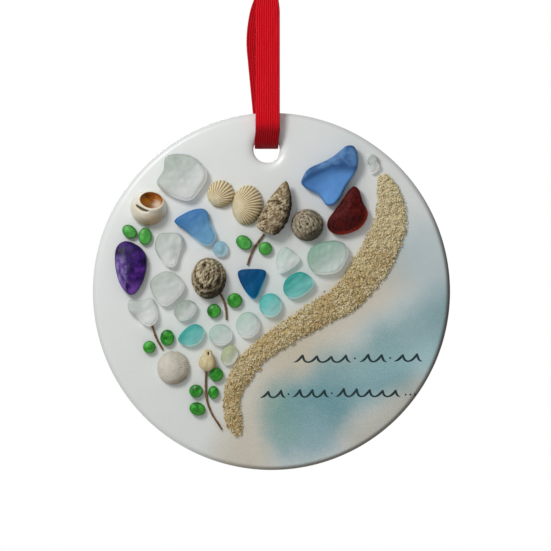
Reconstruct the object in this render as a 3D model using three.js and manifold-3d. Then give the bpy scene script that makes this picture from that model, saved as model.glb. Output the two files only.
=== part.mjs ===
// Souvenir Christmas ornament: a white glazed ceramic disc that hangs on a loop of flat red ribbon.
// Tumbled sea glass, shells, green glass leaves, twigs and a band of sand are glued to its face.
// Units are millimetres and +Z is up. The face looks along -Y, and the origin is the hanging point:
// the place inside the ribbon loop, just under the knot, where a hook or a twig carries it.

import * as THREE from 'three';
import Module from 'manifold-3d';
import { mergeVertices } from 'three/addons/utils/BufferGeometryUtils.js';

const wasm = await Module();
wasm.setup();

// Ceramic disc
const DISC_RADIUS = 38;
const DISC_THICKNESS = 3.5;
const RIM_ROUNDING = 1.2;
const HOLE_RADIUS = 2.9;
const HOLE_ABOVE_CENTRE = 30.2;
const HOLE_LEFT_OF_CENTRE = 1.06;

// Ribbon, knot and tails
const RIBBON_WIDTH = 5;
const RIBBON_THICKNESS = 0.4;
const BIGHT_RISE = 0.3;
const KNOT_ABOVE_HOLE = 35.8;
const KNOT_UNDERSIDE = 1;
const KNOT_HEIGHT = 8;
const KNOT_HALF_WIDTH = 5.6;
const KNOT_HALF_DEPTH = 4.2;
const TAIL_LENGTH = 13;
const TAIL_SPLAY = 0.42;

// Clearances: the glue film under each decoration, and the play where ribbon pieces meet
const GLUE_FILM = 0.3;
const RIBBON_PLAY = 0.3;

// Heights of the glued pieces above the glue film
const GLASS_EDGE_SHARE = 0.36;
const SAND_HEIGHT = 1.3;
const LEAF_HEIGHT = 1.4;
const STEM_RADIUS = 0.22;

const HOLE_Z = KNOT_UNDERSIDE - KNOT_ABOVE_HOLE;
const DISC_CENTRE = new THREE.Vector3(HOLE_LEFT_OF_CENTRE, 0, HOLE_Z - HOLE_ABOVE_CENTRE);

const ornament = new THREE.Group();

// The face group's x is to the right, y is up and z is out of the disc's face. Its origin lies on
// the glue film over the disc's centre, so every decoration is placed as on a drawing board.
const face = new THREE.Group();
face.position.copy(DISC_CENTRE).add(new THREE.Vector3(0, -DISC_THICKNESS / 2 - GLUE_FILM, 0));
face.rotation.x = Math.PI / 2;
ornament.add(face);

function material(colour, roughness, metalness = 0) {
  return new THREE.MeshStandardMaterial({ color: colour, roughness, metalness });
}

const glazedCeramic = material(0xf4f4f0, 0.2);
const redRibbon = material(0xc41420, 0.55);
const drySand = material(0xb9a27a, 0.95);
const twigBark = material(0x5b4326, 0.9);
const leafGlass = material(0x3c9a3a, 0.3);

function addPiece(parent, name, geometry, finish) {
  const mesh = new THREE.Mesh(geometry, finish);
  mesh.name = name;
  parent.add(mesh);
  return mesh;
}

// ---------------------------------------------------------------- solids and cuts

function toManifold(geometry) {
  const bare = geometry.clone();
  bare.deleteAttribute('normal');
  bare.deleteAttribute('uv');
  const welded = mergeVertices(bare);
  return new wasm.Manifold(new wasm.Mesh({
    numProp: 3,
    vertProperties: Float32Array.from(welded.attributes.position.array),
    triVerts: Uint32Array.from(welded.index.array),
  }));
}

function cutFrom(geometry, cutter) {
  const result = toManifold(geometry).subtract(toManifold(cutter)).getMesh();
  const cut = new THREE.BufferGeometry();
  cut.setAttribute('position', new THREE.BufferAttribute(result.vertProperties, 3));
  cut.setIndex(new THREE.BufferAttribute(result.triVerts, 1));
  cut.computeVertexNormals();
  return cut;
}

// ---------------------------------------------------------------- ceramic disc

// The disc's section is turned about its axis: flat back, rounded rim, flat face.
function discGeometry() {
  const section = new THREE.Path();
  const half = DISC_THICKNESS / 2;
  const rimCentre = DISC_RADIUS - RIM_ROUNDING;
  section.moveTo(0, -half);
  section.lineTo(rimCentre, -half);
  section.absarc(rimCentre, -half + RIM_ROUNDING, RIM_ROUNDING, -Math.PI / 2, 0, false);
  section.absarc(rimCentre, half - RIM_ROUNDING, RIM_ROUNDING, 0, Math.PI / 2, false);
  section.lineTo(0, half);
  const turned = new THREE.LatheGeometry(section.getPoints(2), 72);
  const hole = new THREE.CylinderGeometry(HOLE_RADIUS, HOLE_RADIUS, 2 * DISC_THICKNESS, 32);
  hole.translate(-HOLE_LEFT_OF_CENTRE, 0, HOLE_ABOVE_CENTRE);
  return cutFrom(turned, hole);
}

addPiece(ornament, 'ceramic_disc', discGeometry(), glazedCeramic).position.copy(DISC_CENTRE);

// ---------------------------------------------------------------- ribbon

// A strip of ribbon: a route in the YZ plane given a thickness, then the width along X. The function
// settle(x, y, z) gives the final x of each corner, for the strip's lean and its gathered places.
function ribbonStrip(route, steps, settle) {
  const curve = new THREE.SplineCurve(route.map(([y, z]) => new THREE.Vector2(y, z)));
  const middle = curve.getSpacedPoints(steps);
  const along = middle.map((_, i) => curve.getTangentAt(i / steps));
  const side = (sign) => middle.map((point, i) => new THREE.Vector2(
    point.x - (sign * along[i].y * RIBBON_THICKNESS) / 2,
    point.y + (sign * along[i].x * RIBBON_THICKNESS) / 2,
  ));
  const outline = new THREE.Shape([...side(1), ...side(-1).reverse()]);
  const strip = new THREE.ExtrudeGeometry(outline, { depth: RIBBON_WIDTH, bevelEnabled: false });
  strip.translate(0, 0, -RIBBON_WIDTH / 2);
  strip.applyMatrix4(new THREE.Matrix4().makeBasis(
    new THREE.Vector3(0, 1, 0),
    new THREE.Vector3(0, 0, 1),
    new THREE.Vector3(1, 0, 0),
  ));
  const position = strip.attributes.position;
  for (let i = 0; i < position.count; i += 1) {
    position.setX(i, settle(position.getX(i), position.getY(i), position.getZ(i)));
  }
  strip.computeVertexNormals();
  return strip;
}

// Half of the loop, as depth from the disc's middle plane and height above the hole: it leaves the
// bight, clears the rim of the swinging disc and closes towards the knot.
const LEG_ROUTE = [
  [2.9, 1.3],
  [4.1, 5],
  [4.1, 9.5],
  [2.9, 20],
  [1.9, 29],
  [1.3, KNOT_ABOVE_HOLE - RIBBON_PLAY],
];
const loopRoute = [
  ...LEG_ROUTE.map(([depth, up]) => [-depth, HOLE_Z + up]).reverse(),
  [0, HOLE_Z + BIGHT_RISE],
  ...LEG_ROUTE.map(([depth, up]) => [depth, HOLE_Z + up]),
];

// The front leg stands nearly upright. The back leg leans to the left on its way up.
const FRONT_LEG_SHIFT = 0.25;
const BACK_LEG_SHIFT = -2.6;
const LEAN_START = 4;
const LEAN_END = 31;

// The ribbon gathers a little to pass the hole.
const WIDTH_IN_HOLE = 0.9;

function settleLoop(x, y, z) {
  const up = THREE.MathUtils.clamp((z - HOLE_Z - LEAN_START) / (LEAN_END - LEAN_START), 0, 1);
  const outOfHole = THREE.MathUtils.smoothstep(z - HOLE_Z, 1.5, LEAN_START);
  const shift = y < 0 ? FRONT_LEG_SHIFT * outOfHole : BACK_LEG_SHIFT * up;
  return x * THREE.MathUtils.lerp(WIDTH_IN_HOLE, 1, outOfHole) + shift;
}

addPiece(ornament, 'ribbon_loop', ribbonStrip(loopRoute, 44, settleLoop), redRibbon);

// The knot is round about the hanging axis underneath, so that the loop can turn under it.
function knotGeometry() {
  const section = new THREE.SplineCurve([
    new THREE.Vector2(0.72, 0),
    new THREE.Vector2(0.97, 0.25),
    new THREE.Vector2(0.95, 0.6),
    new THREE.Vector2(0.62, 1),
  ]).getPoints(7);
  const closed = [new THREE.Vector2(0, 0), ...section, new THREE.Vector2(0, 1)];
  const knot = new THREE.LatheGeometry(closed, 16);
  knot.rotateX(Math.PI / 2);
  knot.scale(KNOT_HALF_WIDTH, KNOT_HALF_DEPTH, KNOT_HEIGHT);
  return knot;
}

addPiece(ornament, 'ribbon_knot', knotGeometry(), redRibbon).position.z = KNOT_UNDERSIDE;

// Each tail stands on the knot and splays to its own side.
const KNOT_TOP = KNOT_UNDERSIDE + KNOT_HEIGHT;
const TAIL_SPACING = 0.8;
for (const [name, sign] of [['left', -1], ['right', 1]]) {
  const foot = KNOT_TOP + RIBBON_PLAY;
  const route = [
    [sign * TAIL_SPACING, foot],
    [sign * 1.4 * TAIL_SPACING, foot + 0.4 * TAIL_LENGTH],
    [sign * 3 * TAIL_SPACING, foot + 0.75 * TAIL_LENGTH],
    [sign * 6 * TAIL_SPACING, foot + TAIL_LENGTH],
  ];
  const splay = (x, y, z) => x + sign * TAIL_SPLAY * Math.max(z - foot, 0);
  addPiece(ornament, `ribbon_tail_${name}`, ribbonStrip(route, 8, splay), redRibbon);
}

// ---------------------------------------------------------------- tumbled glass

// A closed, smooth outline through a few hand-placed corners.
function cornerOutline(corners, samples) {
  const ring = corners.map(([x, y]) => new THREE.Vector3(x, y, 0));
  const curve = new THREE.CatmullRomCurve3(ring, true, 'centripetal');
  const points = curve.getSpacedPoints(samples).slice(0, samples);
  return new THREE.Shape(points.map((point) => new THREE.Vector2(point.x, point.y)));
}

function ovalOutline([x, y], [halfWidth, halfLength], tiltDegrees, samples) {
  const tilt = THREE.MathUtils.degToRad(tiltDegrees);
  const oval = new THREE.EllipseCurve(x, y, halfWidth, halfLength, 0, 2 * Math.PI, false, tilt);
  return new THREE.Shape(oval.getPoints(samples).slice(0, samples));
}

// A flat piece with all its edges tumbled round, standing on the glue film.
function tumbled(outline, height, edge, edgeSteps) {
  const piece = new THREE.ExtrudeGeometry(outline, {
    depth: height - 2 * edge,
    bevelThickness: edge,
    bevelSize: edge,
    bevelOffset: -edge,
    bevelSegments: edgeSteps,
  });
  piece.translate(0, 0, edge);
  return piece;
}

const cornerGlass = [
  {
    name: 'glass_clear_large',
    colour: 0xc3cac5,
    height: 2.8,
    corners: [[-22.4, 28.6], [-19.8, 29.2], [-16.3, 28.4], [-13.6, 24.9], [-15.1, 21.5], [-17.3, 19.3],
      [-22.1, 20.7], [-24.3, 23.1], [-22.9, 25.7]],
  },
  {
    name: 'glass_cornflower',
    colour: 0x4f86bb,
    height: 2.2,
    corners: [[-20.6, 14.9], [-18.4, 16.6], [-16, 17.5], [-14.3, 17.5], [-13.5, 16.8], [-13, 14.8],
      [-12, 12.6], [-11.8, 11.3], [-12.6, 10.1], [-13.5, 9.7], [-14.8, 10.1], [-16.4, 11.3],
      [-18.4, 13]],
  },
  {
    name: 'glass_clear_upper',
    colour: 0xbcc6c0,
    height: 2.2,
    corners: [[-24.5, 10.9], [-23.7, 12.2], [-21.6, 12.5], [-19.6, 12.3], [-18.8, 11.4], [-18.7, 10],
      [-19.3, 8.7], [-19.8, 7], [-20.3, 5.6], [-21.2, 5.1], [-22.5, 5.7], [-24, 7.6], [-24.7, 9.3]],
  },
  {
    name: 'glass_purple',
    colour: 0x4a2a86,
    height: 3,
    corners: [[-31, 10.7], [-27.7, 9.3], [-26.4, 7], [-27.4, 1.7], [-29.7, -0.8], [-31.9, 1.2],
      [-33.2, 6.5], [-32.7, 9.6]],
  },
  {
    name: 'glass_clear_middle',
    colour: 0xc0c8c2,
    height: 2.4,
    corners: [[-22.6, 4.3], [-19.6, 3.3], [-18.4, 1], [-20.3, -1.8], [-22.8, -3.1], [-25.2, -0.5],
      [-25.6, 2.2]],
  },
  {
    name: 'glass_petal',
    colour: 0xc2c7c1,
    height: 2.2,
    corners: [[-30.2, -1.9], [-27.8, -1.9], [-25.3, -1.4], [-24.3, -3.4], [-24.2, -6], [-25.8, -7.4],
      [-27.2, -6.8], [-28.7, -5.3], [-30.3, -4]],
  },
  {
    name: 'glass_clear_small',
    colour: 0xb0bab0,
    height: 1.9,
    corners: [[-17.4, -1.8], [-15.8, -3], [-16.9, -5.4], [-19.2, -6.2], [-20.7, -4.6], [-19.4, -2.4]],
  },
  {
    name: 'glass_aqua_leaf',
    colour: 0x56b3ad,
    height: 2,
    corners: [[-19.8, -10.3], [-18, -7.7], [-15.8, -6.9], [-14.2, -8.3], [-15.2, -10.8], [-17.6, -11.6]],
  },
  {
    name: 'glass_aqua_drop',
    colour: 0x56a8a0,
    height: 2.2,
    corners: [[6, 4.2], [8.3, 3.1], [9, 1.5], [6.9, -0.7], [4.3, -1.5], [2.6, -0.1], [3, 2.5]],
  },
  {
    name: 'glass_deep_blue',
    colour: 0x0e5079,
    height: 2,
    corners: [[-7.1, 4.2], [-4.2, 4.8], [-1.2, 4.3], [-2, 1.2], [-3.6, -1.6], [-5.3, -0.3]],
  },
  {
    name: 'glass_pale_green_small',
    colour: 0xb4c9ba,
    height: 1.8,
    corners: [[2.9, 9.4], [4.8, 8.4], [6, 6.8], [4, 4.7], [1.6, 3.9], [1, 6.1], [1.7, 8.7]],
  },
  {
    name: 'glass_pale_green_large',
    colour: 0xa3bcac,
    height: 2.5,
    corners: [[7.9, 8.5], [9.2, 9.9], [11.2, 10.6], [13.6, 10.8], [15.2, 10.3], [16.2, 9], [16.3, 8],
      [15.6, 6.2], [14.7, 4.7], [13.6, 4], [11.4, 3.6], [9, 4], [8, 5.2], [7.6, 6.8]],
  },
  {
    name: 'glass_cobalt',
    colour: 0x4a7db6,
    height: 3.2,
    corners: [[6.3, 23], [6.8, 24.6], [7.8, 26], [9.6, 26.9], [11.6, 27.8], [13.4, 28.9], [15.1, 30.3],
      [16.6, 31.1], [17.4, 30.8], [18.2, 29.4], [18.4, 27.4], [17.9, 25.4], [16, 22.5], [14.6, 19.9],
      [13.3, 18.4], [12.2, 18], [11.3, 18.5], [10.2, 20.2], [6.9, 22.1]],
  },
  {
    name: 'glass_red',
    colour: 0x52120f,
    height: 3,
    corners: [[17.5, 22.3], [18.4, 21.8], [18.9, 20.6], [19.5, 18.7], [20.3, 17.2], [20.4, 16.2],
      [19.9, 14.8], [18.6, 13.3], [16.7, 12.4], [14.4, 12], [12.6, 12.6], [11.8, 13.8], [12, 15.2],
      [13.2, 17], [15, 19.4], [16.4, 21.5]],
  },
  {
    name: 'glass_flake',
    colour: 0xc6c6c1,
    height: 1.2,
    corners: [[21.2, 29.1], [22.2, 28.7], [22.6, 27.4], [22.9, 26.4], [22.3, 25.4], [21.4, 24.9],
      [20.7, 25.4], [20.9, 26.4], [20.4, 27.4], [20.6, 28.4]],
  },
];
const CORNER_GLASS_SAMPLES = 26;

for (const { name, colour, height, corners } of cornerGlass) {
  const outline = cornerOutline(corners, CORNER_GLASS_SAMPLES);
  const edge = GLASS_EDGE_SHARE * height;
  addPiece(face, name, tumbled(outline, height, edge, 2), material(colour, 0.45));
}

const roundGlass = [
  { name: 'glass_pale_blue', colour: 0x93b6c6, height: 1.6, at: [-10.8, 9], half: [1.6, 1.7], tilt: 0 },
  { name: 'glass_pale_round', colour: 0xb2c4b8, height: 2, at: [-10.8, -9.2], half: [2.5, 2.3], tilt: 0 },
  { name: 'glass_pale_egg', colour: 0xbacfc6, height: 2.1, at: [-5, -7.1], half: [2.5, 2.8], tilt: -8 },
  { name: 'glass_pale_leaf', colour: 0xabb29f, height: 1.7, at: [-8.9, -13.5], half: [1.7, 2.25], tilt: -25 },
  { name: 'glass_aqua_round', colour: 0x7cb9b4, height: 2.2, at: [-0.2, -2.9], half: [2.4, 2.55], tilt: 0 },
];

for (const { name, colour, height, at, half, tilt } of roundGlass) {
  const outline = ovalOutline(at, half, tilt, 14);
  addPiece(face, name, tumbled(outline, height, GLASS_EDGE_SHARE * height, 2), material(colour, 0.45));
}

// Leaves: small drops of green glass beside the twigs.
const leaves = [
  { at: [-30.1, 12.7], half: [1.7, 1.35], tilt: -40 },
  { at: [-26.8, 11.7], half: [1.45, 1.85], tilt: 0 },
  { at: [-5.85, 10.4], half: [1.8, 1.45], tilt: -35 },
  { at: [-1.3, 9.1], half: [1.45, 1.45], tilt: 0 },
  { at: [-7.8, -1.9], half: [1.6, 1.6], tilt: 0 },
  { at: [-12.2, -4.1], half: [1.5, 1.5], tilt: 0 },
  { at: [-22.1, -9.8], half: [1.5, 1.75], tilt: 0 },
  { at: [-25.9, -11.8], half: [1.35, 1.35], tilt: 0 },
  { at: [-11.7, -17.6], half: [1.5, 1.5], tilt: 0 },
  { at: [-16, -21.1], half: [1.45, 1.4], tilt: 0 },
  { at: [-12.3, -21.4], half: [1.15, 1.4], tilt: 0 },
  { at: [-15.7, -24.9], half: [1.75, 1.4], tilt: -20 },
];

leaves.forEach(({ at, half, tilt }, index) => {
  const name = `leaf_${String(index + 1).padStart(2, '0')}`;
  addPiece(face, name, tumbled(ovalOutline(at, half, tilt, 10), LEAF_HEIGHT, 0.45, 1), leafGlass);
});

// ---------------------------------------------------------------- shells and pod

// A domed shell: a quarter ellipse turned about the line out of the face, then made oval.
function domedShell([halfWidth, halfLength], height, tiltDegrees, segments) {
  const brow = new THREE.EllipseCurve(0, 0.18, 1, 0.82, -0.2, Math.PI / 2).getPoints(5);
  const section = [new THREE.Vector2(0, 0), new THREE.Vector2(0.8, 0), ...brow];
  section[section.length - 1].x = 0;
  const shell = new THREE.LatheGeometry(section, segments);
  shell.rotateX(Math.PI / 2);
  shell.scale(halfWidth, halfLength, height);
  shell.rotateZ(THREE.MathUtils.degToRad(tiltDegrees));
  return shell;
}

const domes = [
  { name: 'scallop_small', colour: 0xcdbf97, at: [-10.8, 20.7], half: [2.85, 2.95], height: 2.4, tilt: -20 },
  { name: 'scallop_large', colour: 0xcfc09c, at: [-5.15, 18.3], half: [3.25, 4.3], height: 3, tilt: -6 },
  { name: 'clam_shell', colour: 0xd0c8b8, at: [-20.8, -16.2], half: [3.5, 3.6], height: 2.8, tilt: 0 },
  { name: 'periwinkle', colour: 0x857a66, at: [7.6, 14.1], half: [3.45, 3.45], height: 4.2, tilt: 0 },
  { name: 'top_shell', colour: 0x6e5f48, at: [-13.3, 2.8], half: [3.7, 4.4], height: 4.8, tilt: 0 },
];

for (const { name, colour, at, half, height, tilt } of domes) {
  const shell = addPiece(face, name, domedShell(half, height, tilt, 16), material(colour, 0.7));
  shell.position.set(at[0], at[1], 0);
}

// The moon snail lies with its oval mouth open to the front.
const SNAIL_HALF = [3.9, 3.7];
const SNAIL_HEIGHT = 5;
const MOUTH_HALF = [2.5, 1.85, 2.4];
const MOUTH_AT = [0.6, 1.6, 5.1];

function moonSnailGeometry() {
  const mouth = new THREE.SphereGeometry(1, 14, 8);
  mouth.scale(...MOUTH_HALF);
  mouth.rotateX(-0.45);
  mouth.translate(...MOUTH_AT);
  return cutFrom(domedShell(SNAIL_HALF, SNAIL_HEIGHT, 0, 18), mouth);
}

addPiece(face, 'moon_snail', moonSnailGeometry(), material(0xcfc3a6, 0.5)).position.set(-26.1, 17.7, 0);

// A turned form that lies on the face: a profile of [radius, length] stations from its foot to its
// tip, flattened towards the disc and laid along a line drawn on the face.
function lyingForm(stations, [footX, footY], [tipX, tipY], flatten) {
  const length = Math.hypot(tipX - footX, tipY - footY);
  const profile = stations.map(([radius, share]) => new THREE.Vector2(radius, share * length));
  const form = new THREE.LatheGeometry(profile, 16);
  const widest = Math.max(...stations.map(([radius]) => radius));
  form.scale(1, 1, flatten);
  form.rotateZ(Math.atan2(tipY - footY, tipX - footX) - Math.PI / 2);
  form.translate(footX, footY, widest * flatten);
  return form;
}

const SPIRE_STATIONS = [[0, 0], [1.7, 0.03], [2.9, 0.16], [3.2, 0.33], [2.7, 0.52], [2.1, 0.68],
  [1.25, 0.87], [0.4, 0.98], [0, 1]];
const spireShell = lyingForm(SPIRE_STATIONS, [-0.5, 12.2], [3.1, 23.2], 0.8);
addPiece(face, 'spire_shell', spireShell, material(0x94846a, 0.75));

const POD_STATIONS = [[0, 0], [0.6, 0.05], [1.75, 0.35], [1.85, 0.55], [1.2, 0.82], [0.75, 0.97], [0, 1]];
const seedPod = lyingForm(POD_STATIONS, [-13.9, -16.9], [-13.4, -12.3], 0.85);
addPiece(face, 'seed_pod', seedPod, material(0xb8b08c, 0.8));

// ---------------------------------------------------------------- twigs

const twigs = {
  stem_spire: [[-2.1, 11.4], [-3.35, 9.6], [-4.25, 7.7], [-5.05, 5.5]],
  stem_top_shell: [[-10.5, -2.1], [-9.8, -3.8], [-9.55, -6.3]],
  stem_petal: [[-25.2, -8], [-24.4, -9.9], [-23, -12.4]],
  stem_pod: [[-14, -17.6], [-14.1, -19.7], [-13.9, -23], [-13, -25.5], [-11.2, -28.2], [-10.5, -29.3]],
};

for (const [name, route] of Object.entries(twigs)) {
  const line = new THREE.CatmullRomCurve3(route.map(([x, y]) => new THREE.Vector3(x, y, STEM_RADIUS)));
  const round = new THREE.Shape().absarc(0, 0, STEM_RADIUS, 0, 2 * Math.PI);
  const twig = new THREE.ExtrudeGeometry(round, {
    extrudePath: line,
    steps: 3 * (route.length - 1),
    curveSegments: 3,
  });
  addPiece(face, name, twig, twigBark);
}

// ---------------------------------------------------------------- sand band

// The band's middle line with its half width at each station, from the top end to the tail.
const sandStations = [
  { at: [23.3, 24.7], half: 0.7 },
  { at: [24.1, 23.2], half: 1.7 },
  { at: [24.9, 20.6], half: 2.5 },
  { at: [25.4, 16.4], half: 3.2 },
  { at: [24.5, 12], half: 3.6 },
  { at: [20.7, 5], half: 3.8 },
  { at: [15.5, -1.5], half: 3.2 },
  { at: [10.6, -4.3], half: 2.9 },
  { at: [2.5, -9.3], half: 2.4 },
  { at: [-3.1, -13.3], half: 2.2 },
  { at: [-7, -18.5], half: 2.2 },
  { at: [-8.4, -22.8], half: 1.8 },
  { at: [-8, -27.6], half: 1.7 },
  { at: [-6.6, -30.4], half: 0.7 },
];

function sandOutline(samples) {
  const middle = new THREE.CatmullRomCurve3(
    sandStations.map(({ at: [x, y], half }) => new THREE.Vector3(x, y, half)),
  );
  const stations = middle.getSpacedPoints(samples);
  const edge = (sign) => stations.map((point, i) => {
    const along = middle.getTangentAt(i / samples);
    const across = new THREE.Vector2(-along.y, along.x).normalize();
    return new THREE.Vector2(point.x, point.y).addScaledVector(across, sign * point.z);
  });
  return new THREE.Shape([...edge(1), ...edge(-1).reverse()]);
}

addPiece(face, 'sand_band', tumbled(sandOutline(30), SAND_HEIGHT, 0.5, 1), drySand);

export default ornament;
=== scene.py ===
import math

import bpy
import numpy as np
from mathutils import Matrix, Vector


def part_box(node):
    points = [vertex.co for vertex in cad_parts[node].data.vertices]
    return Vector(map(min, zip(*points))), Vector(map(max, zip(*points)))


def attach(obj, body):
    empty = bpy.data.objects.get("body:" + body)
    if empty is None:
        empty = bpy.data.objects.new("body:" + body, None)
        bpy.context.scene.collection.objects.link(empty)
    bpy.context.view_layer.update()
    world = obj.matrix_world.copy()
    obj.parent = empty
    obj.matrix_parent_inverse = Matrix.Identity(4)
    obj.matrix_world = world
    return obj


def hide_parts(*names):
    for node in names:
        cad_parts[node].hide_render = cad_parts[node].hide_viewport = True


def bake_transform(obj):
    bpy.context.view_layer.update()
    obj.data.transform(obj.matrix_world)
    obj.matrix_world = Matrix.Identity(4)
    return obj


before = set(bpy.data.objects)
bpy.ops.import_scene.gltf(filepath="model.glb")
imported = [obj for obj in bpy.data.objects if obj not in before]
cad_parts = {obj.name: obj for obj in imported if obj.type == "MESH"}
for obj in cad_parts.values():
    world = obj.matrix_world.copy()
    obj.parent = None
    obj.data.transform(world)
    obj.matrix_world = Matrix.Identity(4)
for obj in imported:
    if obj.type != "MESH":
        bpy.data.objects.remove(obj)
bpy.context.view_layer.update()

# ---------------------------------------------------------------- camera, lamp and floor
# The ornament hangs in a white room and is seen straight on. One soft lamp stands close to it at
# the upper left, so the glaze is brightest there, and the room is darker at the lower right.

MM = 0.001
disc_low, disc_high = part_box("ceramic_disc")
DISC_CENTRE = (disc_low + disc_high) / 2
DISC_RADIUS = (disc_high.x - disc_low.x) / 2
FACE = disc_low.y
BACK = disc_high.y

CAMERA_DISTANCE = 0.6
VIEW_WIDTH = 0.117
SENSOR_WIDTH = 36
VIEW_AIM = (DISC_CENTRE.x + 0.85 * MM, FACE, DISC_CENTRE.z + 3.4 * MM)


def add(tree, kind, inputs=(), output=0, **settings):
    """Adds a shader node. Its settings are the node's own, and inputs go to its sockets by name or
    number, each a plain value or another node's output socket. Gives back one output socket."""
    node = tree.nodes.new("ShaderNode" + kind)
    for name, value in settings.items():
        setattr(node, name, value)
    for key, value in dict(inputs).items():
        if isinstance(value, bpy.types.NodeSocket):
            tree.links.new(value, node.inputs[key])
        else:
            node.inputs[key].default_value = value
    return node.outputs[output]


def stand_camera():
    lens = bpy.data.cameras.new("camera")
    lens.sensor_width = SENSOR_WIDTH
    lens.lens = SENSOR_WIDTH * CAMERA_DISTANCE / VIEW_WIDTH
    lens.clip_start = 0.01
    camera = bpy.data.objects.new("camera", lens)
    camera.location = (VIEW_AIM[0], FACE - CAMERA_DISTANCE, VIEW_AIM[2])
    camera.rotation_euler = (math.pi / 2, 0, 0)
    bpy.context.collection.objects.link(camera)
    bpy.context.scene.camera = camera


def hang_lamp(name, offset, size, power):
    """A square lamp at an offset from the disc's centre, turned towards it."""
    panel = bpy.data.lights.new(name, "AREA")
    panel.size = size
    panel.energy = power
    lamp = bpy.data.objects.new(name, panel)
    lamp.location = [centre + step for centre, step in zip(DISC_CENTRE, offset)]
    aim = DISC_CENTRE - lamp.location
    lamp.rotation_euler = aim.to_track_quat("-Z", "Y").to_euler()
    lamp.visible_camera = False
    bpy.context.collection.objects.link(lamp)


def paint_room():
    """A white room to the camera. As a light it is brightest towards the upper left front and falls
    off smoothly towards the lower right."""
    world = bpy.data.worlds.new("room")
    bpy.context.scene.world = world
    world.use_nodes = True
    tree = world.node_tree
    tree.nodes.clear()
    direction = add(tree, "TexCoord", output="Generated")
    towards_lamp = add(tree, "VectorMath", {0: direction, 1: (-0.52, -0.55, 0.65)}, "Value",
                       operation="DOT_PRODUCT")
    glow = add(tree, "MapRange", {"Value": towards_lamp, "From Min": -0.6, "From Max": 1.0,
                                  "To Min": 0.03, "To Max": 0.49}, interpolation_type="SMOOTHSTEP")
    lit = add(tree, "Background", {"Color": (0.97, 1.0, 1.0, 1), "Strength": glow})
    seen = add(tree, "Background", {"Color": (1, 1, 1, 1), "Strength": 1.0})
    camera_ray = add(tree, "LightPath", output="Is Camera Ray")
    mixed = add(tree, "MixShader", {0: camera_ray, 1: lit, 2: seen})
    tree.links.new(mixed, tree.nodes.new("ShaderNodeOutputWorld").inputs["Surface"])


stand_camera()
hang_lamp("key_lamp", (-0.105, -0.19, 0.125), 0.07, 0.27)
hang_lamp("back_lamp", (-0.16, 0.36, 0.22), 0.2, 0.9)
paint_room()
bpy.context.scene.view_settings.view_transform = "Standard"


def linear(colour):
    """Six hex digits of a screen colour as linear red, green, blue and alpha."""
    shares = [int(colour[place:place + 2], 16) / 255 for place in (0, 2, 4)]
    return (*[s / 12.92 if s < 0.04045 else ((s + 0.055) / 1.055) ** 2.4 for s in shares], 1)


def new_finish(name, **values):
    """A new material, as its node tree and its Principled shader. Values set the shader's sockets,
    with underscores for the spaces in their names."""
    finish = bpy.data.materials.new(name)
    finish.use_nodes = True
    shader = finish.node_tree.nodes["Principled BSDF"]
    for key, value in values.items():
        shader.inputs[key.replace("_", " ")].default_value = value
    return finish, finish.node_tree, shader


def finish_inputs(tree, shader, **sockets):
    """Wires sockets to the shader's inputs, by name, with underscores for spaces."""
    for key, socket in sockets.items():
        tree.links.new(socket, shader.inputs[key.replace("_", " ")])


def noise(tree, place, scale, detail=3.0, roughness=0.55):
    return add(tree, "TexNoise", {"Vector": place, "Scale": scale, "Detail": detail,
                                  "Roughness": roughness}, "Fac")


def mix(tree, share, first, second, blend="MIX"):
    """Mixes two colours, each a socket, a plain colour or six hex digits."""
    first, second = (linear(tone) if isinstance(tone, str) else tone for tone in (first, second))
    return add(tree, "Mix", {0: share, 6: first, 7: second}, 2, data_type="RGBA", blend_type=blend)


def maths(tree, operation, *values):
    return add(tree, "Math", dict(enumerate(values)), operation=operation)


def times(tree, product, *others):
    """Multiplies values together, one after another."""
    for other in others:
        product = maths(tree, "MULTIPLY", product, other)
    return product


def plus(tree, first, second):
    return maths(tree, "ADD", first, second)


def fade(tree, value, start, end, low=0.0, high=1.0):
    """Runs smoothly from low to high as value runs from start to end."""
    return add(tree, "MapRange", {"Value": value, "From Min": start, "From Max": end,
                                  "To Min": low, "To Max": high}, interpolation_type="SMOOTHSTEP")


def ramp(tree, value, stops):
    """A colour ramp through stops of place and hex colour."""
    socket = add(tree, "ValToRGB", {"Fac": value}, "Color")
    band = socket.node.color_ramp
    while len(band.elements) < len(stops):
        band.elements.new(0.5)
    for element, (place, colour) in zip(band.elements, stops):
        element.position = place
        element.color = linear(colour)
    return socket


def bump(tree, height, distance, strength=1.0, normal=None):
    inputs = {"Height": height, "Distance": distance, "Strength": strength}
    if normal is not None:
        inputs["Normal"] = normal
    return add(tree, "Bump", inputs, "Normal")


def attribute(tree, name):
    return add(tree, "Attribute", output="Fac", attribute_name=name)


def object_place(tree):
    return add(tree, "TexCoord", output="Object")


FLOOR_DROP = 0.15
FLOOR_RADIUS = 0.42


def lay_floor():
    corners = np.linspace(0, 2 * math.pi, 96, endpoint=False)
    height = disc_low.z - FLOOR_DROP
    rim = np.stack([FLOOR_RADIUS * np.cos(corners), FLOOR_RADIUS * np.sin(corners),
                    np.full_like(corners, height)], -1)
    mesh = bpy.data.meshes.new("floor")
    mesh.from_pydata(rim.tolist(), [], [list(range(len(rim)))])
    floor = bpy.data.objects.new("floor", mesh)
    bpy.context.collection.objects.link(floor)
    finish, tree, shader = new_finish("floor_paint", Roughness=0.9)
    place = object_place(tree)
    finish_inputs(tree, shader, Base_Color=ramp(tree, noise(tree, place, 9.0),
                                                [(0.3, "e9e8e5"), (0.7, "f1f0ee")]))
    mesh.materials.append(finish)


lay_floor()

# ---------------------------------------------------------------- ribbon loop
# One length of 5 mm red grosgrain ribbon, woven with fine lengthwise ribs. It passes through the
# hole in the disc, and its two legs rise to the knot. The front leg stands upright and the back
# leg leans to the left behind it.

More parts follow.
